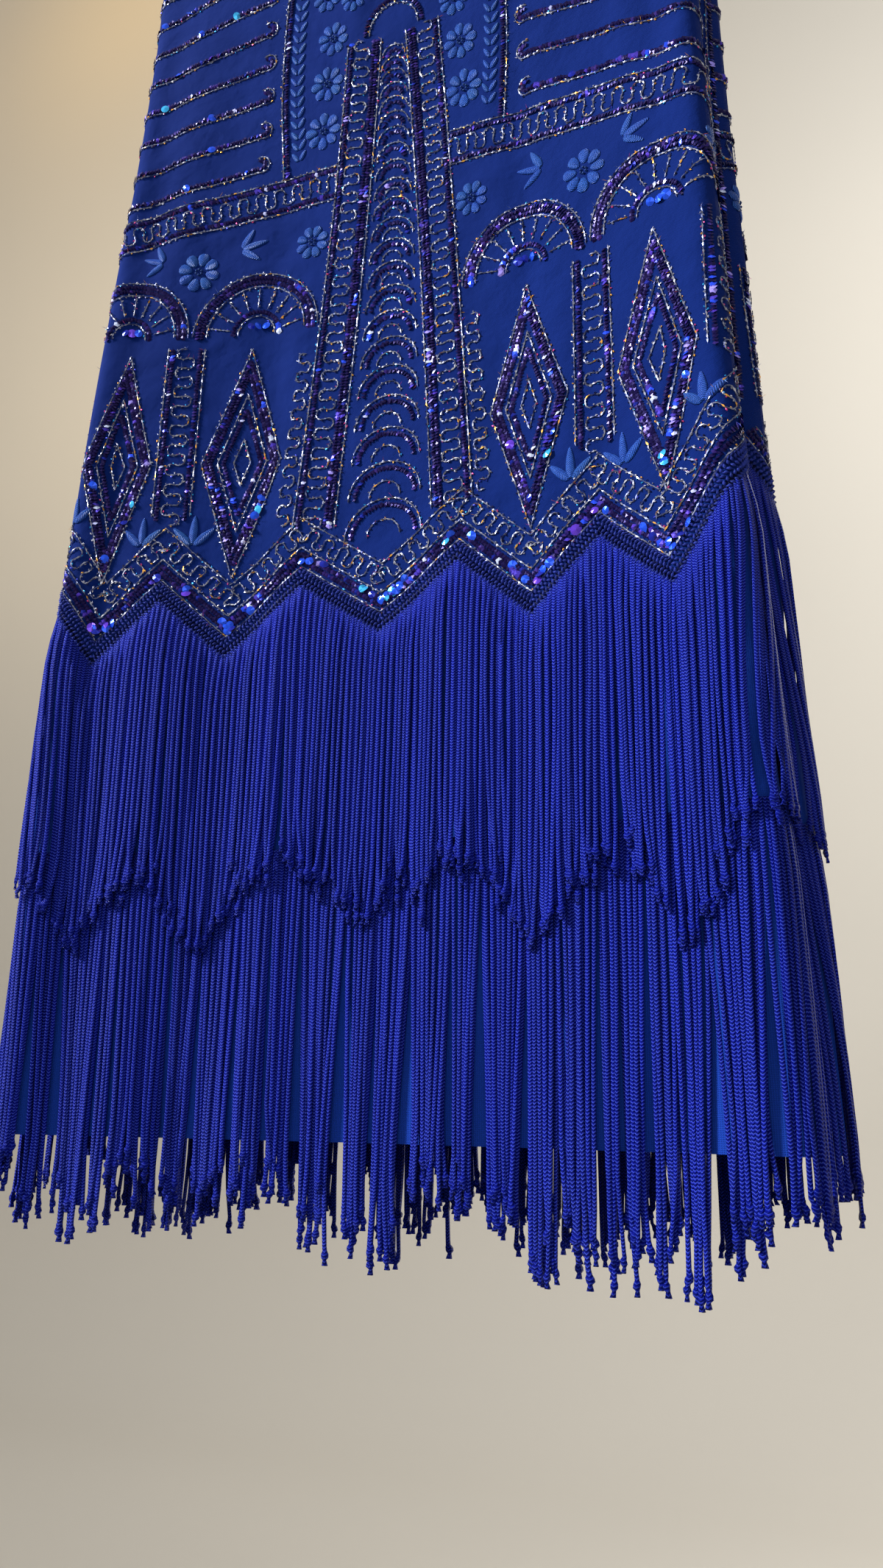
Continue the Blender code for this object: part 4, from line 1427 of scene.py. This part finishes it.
class DRESS_OT_bright_sequins(bpy.types.Operator):
    """Sew the larger bright sequins at tips and notches, in the fans and on the bars."""
    bl_idname = "dress.bright_sequins"
    bl_label = "Bright sequins"

    def places(self, rng):
        """Where they lie, as (p, z)."""
        found = []
        border = 0.5 * sum(BORDER_DARK)
        for side in (-1, 1):
            for corner in ZIGZAG[:-1]:
                for _ in range(6 if corner.rise < 0.01 else 3):
                    p = side * (corner.u * HALF_CUT + rng.normal(0, 0.008))
                    found.append((p, over_hem(abs(p), border * 1.25 + rng.normal(0, 0.0012))))
            for one in LOZENGES:
                share = rng.uniform(0.15, 0.95, 4)
                found += [(side * (one.p + rng.choice([-1, 1]) * one.half_width * 0.85 * (1 - t)),
                           one.z - one.below * 0.85 * t) for t in share]
            for p, z in FANS:
                found += [(side * p + 0.005 * step, z + 0.005) for step in (-1, 0, 1)]
            for p in rng.uniform(0.130, 0.236, 14):
                on_line = float(np.interp(p, *zip(*BAR_LINE))) + 0.003
                found.append((side * p, BAR_FOOT_Z + BAR_STEP * rng.integers(0, BARS) + on_line))
        return found

    def execute(self, context):
        paint = Paint("bright_foil", roughness=0.16, metallic=0.45, Specular_Tint=(0.4, 0.6, 1.0, 1.0),
                      Coat_Weight=0.3, Coat_Roughness=0.08)
        paint.feed("Base Color", paint.tint())
        shape, faces = disc(10, sizes().bright_size, 0.0014)
        for panel, rng, heap in each_panel(217):
            for place in self.places(rng):
                path = [place, (place[0] + SHORT_STEP, place[1])]
                spots, ahead, outward = along_path(panel, path, SHORT_STEP, BRIGHT_OUT)
                if not len(spots):
                    continue
                copies = turned(shape, rng.normal(0.0, 0.30, 1), 1)
                copies = turned(copies, rng.normal(0.0, 0.30, 1), 0) * rng.uniform(0.75, 1.1)
                tints = pick_tints(rng, 1, [
                    (0.55, colours().bright), (0.25, (0.01, 0.02, 0.40)), (0.07, (0.05, 0.50, 1.0)),
                    (0.10, (0.14, 0.05, 0.75))])
                heap.add(placed(copies, spots[:1], ahead[:1], outward[:1]), faces, tints=tints)
            finished(heap.build("bright_sequins_" + panel.label, paint.material, smooth=False), "beadwork")
        return {"FINISHED"}


def petal_shape(root_width, tip_width):
    """A padded petal along X, from its root at the origin to its tip at 1."""
    deselect()
    bpy.ops.mesh.primitive_uv_sphere_add(segments=8, ring_count=6, radius=0.5)
    points, faces = take_new()
    points = points[:, [2, 0, 1]]
    points[:, 0] += 0.5
    points[:, 1] *= root_width + (tip_width - root_width) * np.clip(points[:, 0], 0, 1)
    return points, faces


class DRESS_OT_embroidery(bpy.types.Operator):
    """Embroider the satin-stitch daisies and leaf sprays."""
    bl_idname = "dress.embroidery"
    bl_label = "Embroidery"

    def execute(self, context):
        petal, faces = petal_shape(0.65, 1.10)
        leaf, _ = petal_shape(1.15, 0.55)
        bead, bead_faces = spindle(4, 0.0021, 0.0019, 0.0016)
        material = satin_stitch()
        for panel, rng, heap in each_panel(330):
            for side in (-1, 1):
                for daisy in DAISIES:
                    root = (side * daisy.p, daisy.z)
                    spin = rng.uniform(0, 1)
                    for number in range(PETALS):
                        way = 2 * math.pi * (number + spin) / PETALS
                        self.add_petal(heap, panel, petal, faces, root, way,
                                       0.32 * daisy.size, daisy.size, 0.60 * daisy.size, rng)
                    ring = arc(root, DAISY_RING, DAISY_RING, 0, 360, 12)
                    spots, ahead, outward = along_path(panel, ring, 0.0020, BEAD_OUT)
                    copies = np.broadcast_to(bead, (len(spots), *bead.shape))
                    dark = np.tile([0.004, 0.004, 0.04, 1.0], (len(spots), 1))
                    heap.add(placed(copies, spots, ahead, outward), bead_faces, tints=dark)
                for spray in SPRAYS:
                    for swing, reach in SPRAY_LEAVES:
                        way = math.radians(spray.way + swing)
                        way = way if side > 0 else math.pi - way
                        self.add_petal(heap, panel, leaf, faces, (side * spray.p, spray.z), way,
                                       0.0012, spray.reach * reach, 0.0062, rng)
                for root, way in along_flat(curve(EAR_LINE), EAR_PITCH):
                    for swing in (-EAR_SWING, EAR_SWING):
                        turn = way + math.radians(swing)
                        turn = turn if side > 0 else math.pi - turn
                        self.add_petal(heap, panel, leaf, faces, (side * root[0], root[1]), turn,
                                       0.0008, 0.0095, 0.0042, rng)
            finished(heap.build("embroidery_" + panel.label, material), "beadwork")
        return {"FINISHED"}

    def add_petal(self, heap, panel, shape, faces, root, angle, start, reach, width, rng):
        """Lay a petal or leaf over the cloth, from start to reach metres off its root."""
        way = np.array([math.cos(angle), math.sin(angle)])
        left = np.array([-way[1], way[0]])
        size = np.array([reach - start, width * rng.uniform(0.92, 1.08)])
        flat = np.array(root) + way * start + shape[:, :1] * size[0] * way + shape[:, 1:2] * size[1] * left
        s = panel.to_s(flat[:, 0])
        if np.abs(s).max() > 0.985:
            return
        points = panel.at(s, flat[:, 1], PETAL_OUT + shape[:, 2] * PETAL_HEIGHT)
        tone = (*[part * rng.uniform(0.85, 1.2) for part in colours().petal], 1.0)
        heap.add(points[None], faces, (shape[:, :2] * size)[None], np.array([tone]))


def along_flat(path, pitch):
    """Even places along a flat line, each with its direction as an angle."""
    flat = distances(path)
    spots = between(np.arange(0.5 * pitch, flat[-1], pitch), flat, path)
    ways = np.gradient(spots, axis=0)
    return [(spot, math.atan2(way[1], way[0])) for spot, way in zip(spots, ways)]


def satin_stitch():
    """Glossy stitches side by side, with painted shade between them, a mottle of the cloth's colour and
    patches of painted highlight.
    """
    paint = Paint("satin_stitch", roughness=0.45, Specular_IOR_Level=0.25,
                  Specular_Tint=(0.3, 0.5, 1.0, 1.0))
    along, across = paint.sewing()
    stitches = ((along + abs(across) * 0.8) * (2 * math.pi / 0.0013)).sine() * 0.5 + 0.5
    mottle_and_highlight = paint.noise(300.0, 2.0)
    # Where the noise is high the pale blue is a painted highlight; where it is low the cloth's colour
    # mottles the stitches
    tone = paint.mix(mottle_and_highlight, paint.mix(0.40, paint.tint(), shade(tuple(colours().overlay), 1.0)),
                     paint.mix(0.30, paint.tint(), (0.11, 0.36, 1.0, 1.0)))
    # Painted shade: darker between the stitches
    tone = paint.mix(stitches, paint.mix(0.62, tone, (0.0, 0.0, 0.10, 1.0)), tone)
    paint.feed("Base Color", tone)
    paint.bump(stitches, 0.0005, 1.0)
    return paint.material


# Braid and edges

# Heights over the braid's foot
BRAID_LOOPS = (0.0022, 0.0048, 0.0074, 0.0098)
BRAID_CORDS = (0.0004, 0.0112)
# Foot and steps of the near black strip behind the loops, which is painted shade
SHADE_STRIP_FOOT = 0.0008
SHADE_STRIP_STEPS = 160


class DRESS_OT_braids(bpy.types.Operator):
    """Crochet the braid along the zigzag hem: four rows of slanted loops between two cords."""
    bl_idname = "dress.braids"
    bl_label = "Braids"

    def execute(self, context):
        material = braid_thread()
        pitch = sizes().loop_pitch
        loop, loop_faces = spindle(5, 0.0041, 0.0019, 0.0028)
        cord, cord_faces = spindle(4, 0.0042, 0.0013, 0.0018)
        for panel, rng, heap in each_panel(61):
            self.add_shade_strip(heap, panel)
            for row, over in enumerate(BRAID_LOOPS):
                start = 0.5 * pitch * (row % 2)
                spots, ahead, outward = along_path(panel, zigzag(over), pitch, BRAID_OUT, start)
                count = len(spots)
                copies = turned(loop, math.pi / 2 + 0.50 * (-1) ** row + rng.normal(0, 0.10, count), 2)
                tints = np.ones((count, 4)) * rng.uniform(0.45, 1.0, (count, 1))
                heap.add(placed(copies, spots, ahead, outward), loop_faces, tints=tints)
            for over in BRAID_CORDS:
                spots, ahead, outward = along_path(panel, zigzag(over), 0.0024, CORD_OUT)
                count = len(spots)
                copies = turned(cord, 0.28 + rng.normal(0, 0.06, count), 2)
                tints = np.ones((count, 4)) * rng.uniform(0.4, 0.8, (count, 1))
                heap.add(placed(copies, spots, ahead, outward), cord_faces, tints=tints)
            finished(heap.build("braid_" + panel.label, material), "fringe")
        return {"FINISHED"}

    def add_shade_strip(self, heap, panel):
        """A near black strip behind the loops, closed all round: painted shade between them."""
        top, bottom = zigzag(BRAID_LOOPS[-1]), zigzag(SHADE_STRIP_FOOT)
        steps = np.linspace(0, len(top) - 1, SHADE_STRIP_STEPS)
        rows = []
        for line, out in ((bottom, 0.0003), (top, 0.0003), (top, 0.0009), (bottom, 0.0009)):
            p, z = between(steps, range(len(line)), line).T
            rows.append(panel.at(np.clip(panel.to_s(p), -1, 1), z, out))
        points = np.stack(rows, 1).reshape(1, -1, 3)
        faces = []
        for index in range(len(steps) - 1):
            for corner in range(4):
                a, b = 4 * index + corner, 4 * index + (corner + 1) % 4
                faces.append((a, b, b + 4, a + 4) if not panel.back else (b, a, a + 4, b + 4))
        last = 4 * (len(steps) - 1)
        ends = [(3, 2, 1, 0), (last, last + 1, last + 2, last + 3)]
        faces += ends if not panel.back else [end[::-1] for end in ends]
        # This tint makes the strip near black: painted shade between the loops
        heap.add(points, faces, tints=np.array([[0.05, 0.05, 0.05, 1.0]]))


def braid_thread():
    """Matt crochet cotton, with painted shade between its loops from the near black strip behind them."""
    paint = Paint("braid_thread", roughness=0.55, Specular_IOR_Level=0.3, Specular_Tint=BLUE_SHEEN)
    navy = tuple(colours().braid)
    tint = paint.node("ShaderNodeSeparateColor", None, {0: paint.tint()})
    tone = paint.mix(paint.noise(900.0, 2.0), shade(navy, 0.6), shade(navy, 1.7))
    paint.feed("Base Color", paint.mix(paint.number(tint.outputs[0]), shade(navy, 0.03), tone))
    paint.bump(paint.noise(2500.0, 2.0), 0.0002, 0.5)
    return paint.material


BINDING_RADIUS = 0.0014


def tube(heap, line, radius, sides=6):
    """A closed-ended tube through a line of points."""
    ahead = unit(np.gradient(line, axis=0))
    aside = unit(np.cross(ahead, np.array([0.0, 1.0, 0.001])))
    over = np.cross(aside, ahead)
    angle = 2 * math.pi * np.arange(sides) / sides
    rings = (line[:, None] + radius * (np.cos(angle)[:, None] * aside[:, None]
                                       + np.sin(angle)[:, None] * over[:, None]))
    faces = []
    for ring in range(len(line) - 1):
        for side in range(sides):
            a, b = ring * sides + side, ring * sides + (side + 1) % sides
            faces.append((a, b, b + sides, a + sides))
    last = (len(line) - 1) * sides
    faces.append(tuple(range(sides))[::-1])
    faces.append(tuple(range(last, last + sides)))
    heap.add(rings.reshape(1, -1, 3), faces)


class DRESS_OT_bindings(bpy.types.Operator):
    """Bind the neckline, armholes and straps with a narrow rolled edge."""
    bl_idname = "dress.bindings"
    bl_label = "Bindings"

    def execute(self, context):
        material = crepe()
        for panel in panels():
            heap = Heap()
            for side in (-1, 1):
                u = np.linspace(0, STRAP_IN, 30)
                neck = panel.at(side * u, upper_edge(u, panel.back))
                tube(heap, np.vstack([neck, strap_line(neck[-1], panel.back)[0]]), BINDING_RADIUS)
                u = np.linspace(STRAP_OUT, 1.0, 36)
                arm = panel.at(side * u, upper_edge(u, panel.back))
                tube(heap, np.vstack([strap_line(arm[0], panel.back)[0][::-1], arm]), BINDING_RADIUS)
            item = heap.build("binding_" + panel.label, material)
            turned_out(item)
            finished(item, "overlay")
        return {"FINISHED"}


# Hanger

class DRESS_OT_hanger(bpy.types.Operator):
    """Give the hanger its mottled plastic and the hook its brushed steel."""
    bl_idname = "dress.hanger"
    bl_label = "Hanger"

    def execute(self, context):
        paint = Paint("hanger_plastic", roughness=0.42)
        grey = tuple(colours().hanger)
        mottled = paint.noise(40.0, 4.0)
        paint.feed("Base Color", paint.mix(mottled, shade(grey, 0.92), shade(grey, 1.06)))
        paint.feed("Roughness", mottled * 0.2 + 0.32)
        paint.bump(paint.noise(900.0, 2.0), 0.0001, 0.3)
        steel = Paint("hook_steel", roughness=0.28, metallic=1.0)
        brushed = steel.noise(300.0, 2.0)
        steel.feed("Base Color", steel.mix(brushed, (0.50, 0.50, 0.50, 1.0), (0.66, 0.66, 0.66, 1.0)))
        steel.feed("Roughness", brushed * 0.25 + 0.18)
        for node, material in (("hanger_body", paint.material), ("hanger_hook", steel.material)):
            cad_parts[node].data.materials.clear()
            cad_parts[node].data.materials.append(material)
        return {"FINISHED"}


# Stage

Lamp = namedtuple("Lamp", "name place target size spread power tone")
HIP = (0.0, 0.0, -0.62)
LAMPS = [
    Lamp("key", (-3.4, -2.4, 1.4), HIP, 0.9, 36, 20.0, (1.0, 0.97, 0.93)),
    Lamp("fill", (0.6, -2.6, -0.9), HIP, 1.6, 180, 14.0, (1.0, 0.95, 0.88)),
    Lamp("glint", (0.9, -1.2, 1.1), HIP, 0.12, 180, 2.6, (1.0, 0.98, 0.95)),
    Lamp("back", (0.7, 2.3, 0.7), HIP, 1.2, 180, 7.0, (1.0, 0.98, 0.95)),
    Lamp("wall", (1.7, 0.6, 1.4), (1.2, 3.2, 1.5), 1.4, 180, 78.0, (1.0, 0.98, 0.95)),
    Lamp("warm wall", (-2.6, 1.3, 2.1), (-3.0, 3.2, 2.3), 1.2, 180, 17.0, (1.0, 0.82, 0.56)),
    Lamp("warm corner", (-2.9, 1.9, 4.4), (-3.2, 3.2, 4.6), 0.5, 180, 7.0, (1.0, 0.60, 0.10)),
    Lamp("low wall", (-0.3, 1.6, -0.1), (-0.3, 2.4, -1.95), 0.8, 180, 4.0, (1.0, 0.98, 0.95)),
]


class DRESS_OT_stage(bpy.types.Operator):
    """Set up the floor and backdrop, the soft lights and the camera."""
    bl_idname = "dress.stage"
    bl_label = "Stage"

    floor_z = -1.95
    near_y = -4.0
    wall_y = 3.2
    wall_top = 6.0
    half_wide = 11.0
    bend = 0.8
    bend_steps = 8

    def execute(self, context):
        self.backdrop()
        self.lights(context)
        self.camera(context)
        return {"FINISHED"}

    def backdrop(self):
        """A floor that bends up into a wall, extruded from its side view."""
        profile = [(self.near_y, self.floor_z), (self.wall_y - self.bend, self.floor_z)]
        for step in range(1, self.bend_steps + 1):
            angle = math.radians(90 * step / self.bend_steps)
            profile.append((self.wall_y - self.bend + self.bend * math.sin(angle),
                            self.floor_z + self.bend * (1 - math.cos(angle))))
        profile.append((self.wall_y, self.wall_top))
        deselect()
        bpy.ops.mesh.primitive_grid_add(x_subdivisions=1, y_subdivisions=len(profile) - 1, size=1)
        item = bpy.context.object
        item.name = item.data.name = "backdrop"
        for number, corner in enumerate(item.data.vertices):
            y, z = profile[number // 2]
            corner.co = (self.half_wide if number % 2 else -self.half_wide, y, z)
        bpy.ops.object.shade_smooth()
        paint = Paint("backdrop", roughness=0.9, Specular_IOR_Level=0.1)
        pale = tuple(colours().floor)
        paint.feed("Base Color", paint.mix(paint.noise(0.8, 2.0), shade(pale, 0.97), shade(pale, 1.03)))
        item.data.materials.append(paint.material)

    def lights(self, context):
        world = bpy.data.worlds.new("studio")
        context.scene.world = world
        world.use_nodes = True
        sky = world.node_tree.nodes["Background"]
        sky.inputs["Color"].default_value = (1.0, 0.97, 0.93, 1.0)
        sky.inputs["Strength"].default_value = 0.40
        for lamp in LAMPS:
            data = bpy.data.lights.new(lamp.name, "AREA")
            data.size = lamp.size
            data.spread = math.radians(lamp.spread)
            data.energy = lamp.power
            data.color = lamp.tone
            item = bpy.data.objects.new(lamp.name, data)
            item.location = lamp.place
            item.visible_camera = False
            aim = Vector(lamp.target) - Vector(lamp.place)
            item.rotation_euler = aim.to_track_quat("-Z", "Y").to_euler()
            context.scene.collection.objects.link(item)

    def camera(self, context):
        pitch, yaw, roll = [math.radians(a) for a in (CAMERA_PITCH, CAMERA_YAW, CAMERA_ROLL)]
        ahead = Vector((-math.sin(yaw) * math.cos(pitch), math.cos(yaw) * math.cos(pitch), math.sin(pitch)))
        right = Vector((math.cos(yaw), math.sin(yaw), 0.0))
        up = right.cross(ahead)
        right, up = (math.cos(roll) * right + math.sin(roll) * up,
                     -math.sin(roll) * right + math.cos(roll) * up)
        data = bpy.data.cameras.new("camera")
        data.sensor_width = SENSOR_WIDTH
        data.lens = SENSOR_WIDTH * FOCAL_PIXELS / IMAGE_LONG
        data.clip_start = 0.01
        item = bpy.data.objects.new("camera", data)
        turn = Matrix((right, up, -ahead)).transposed()
        item.matrix_world = Matrix.Translation(CAMERA_AT) @ turn.to_4x4()
        context.scene.collection.objects.link(item)
        context.scene.camera = item
        context.scene.view_settings.view_transform = "Standard"


class DRESS_PT_panel(bpy.types.Panel):
    """Lists the steps of the dress and the values that they use."""
    bl_idname = "DRESS_PT_panel"
    bl_label = "Dress"
    bl_space_type = "VIEW_3D"
    bl_region_type = "UI"
    bl_category = "Dress"

    def draw(self, context):
        for step in STEPS:
            self.layout.operator(step.bl_idname)
        for group in (context.scene.dress_sizes, context.scene.dress_colours):
            column = self.layout.column(align=True)
            for key in group.__annotations__:
                column.prop(group, key)


STEPS = (
    DRESS_OT_stage, DRESS_OT_linings, DRESS_OT_overlays, DRESS_OT_bindings, DRESS_OT_braids,
    DRESS_OT_upper_fringe, DRESS_OT_lower_fringe, DRESS_OT_couched_thread, DRESS_OT_sequin_lines,
    DRESS_OT_bright_sequins, DRESS_OT_embroidery, DRESS_OT_hanger,
)
CLASSES = (DressSizes, DressColours, *STEPS, DRESS_PT_panel)


def register():
    for one in CLASSES:
        bpy.utils.register_class(one)
    bpy.types.Scene.dress_sizes = bpy.props.PointerProperty(type=DressSizes)
    bpy.types.Scene.dress_colours = bpy.props.PointerProperty(type=DressColours)


def unregister():
    del bpy.types.Scene.dress_colours
    del bpy.types.Scene.dress_sizes
    for one in reversed(CLASSES):
        bpy.utils.unregister_class(one)


def main():
    register()
    deselect()
    for step in STEPS:
        group, name = step.bl_idname.split(".")
        if getattr(getattr(bpy.ops, group), name)() != {"FINISHED"}:
            raise RuntimeError(step.bl_label + " did not finish")


if __name__ == "__main__":
    main()
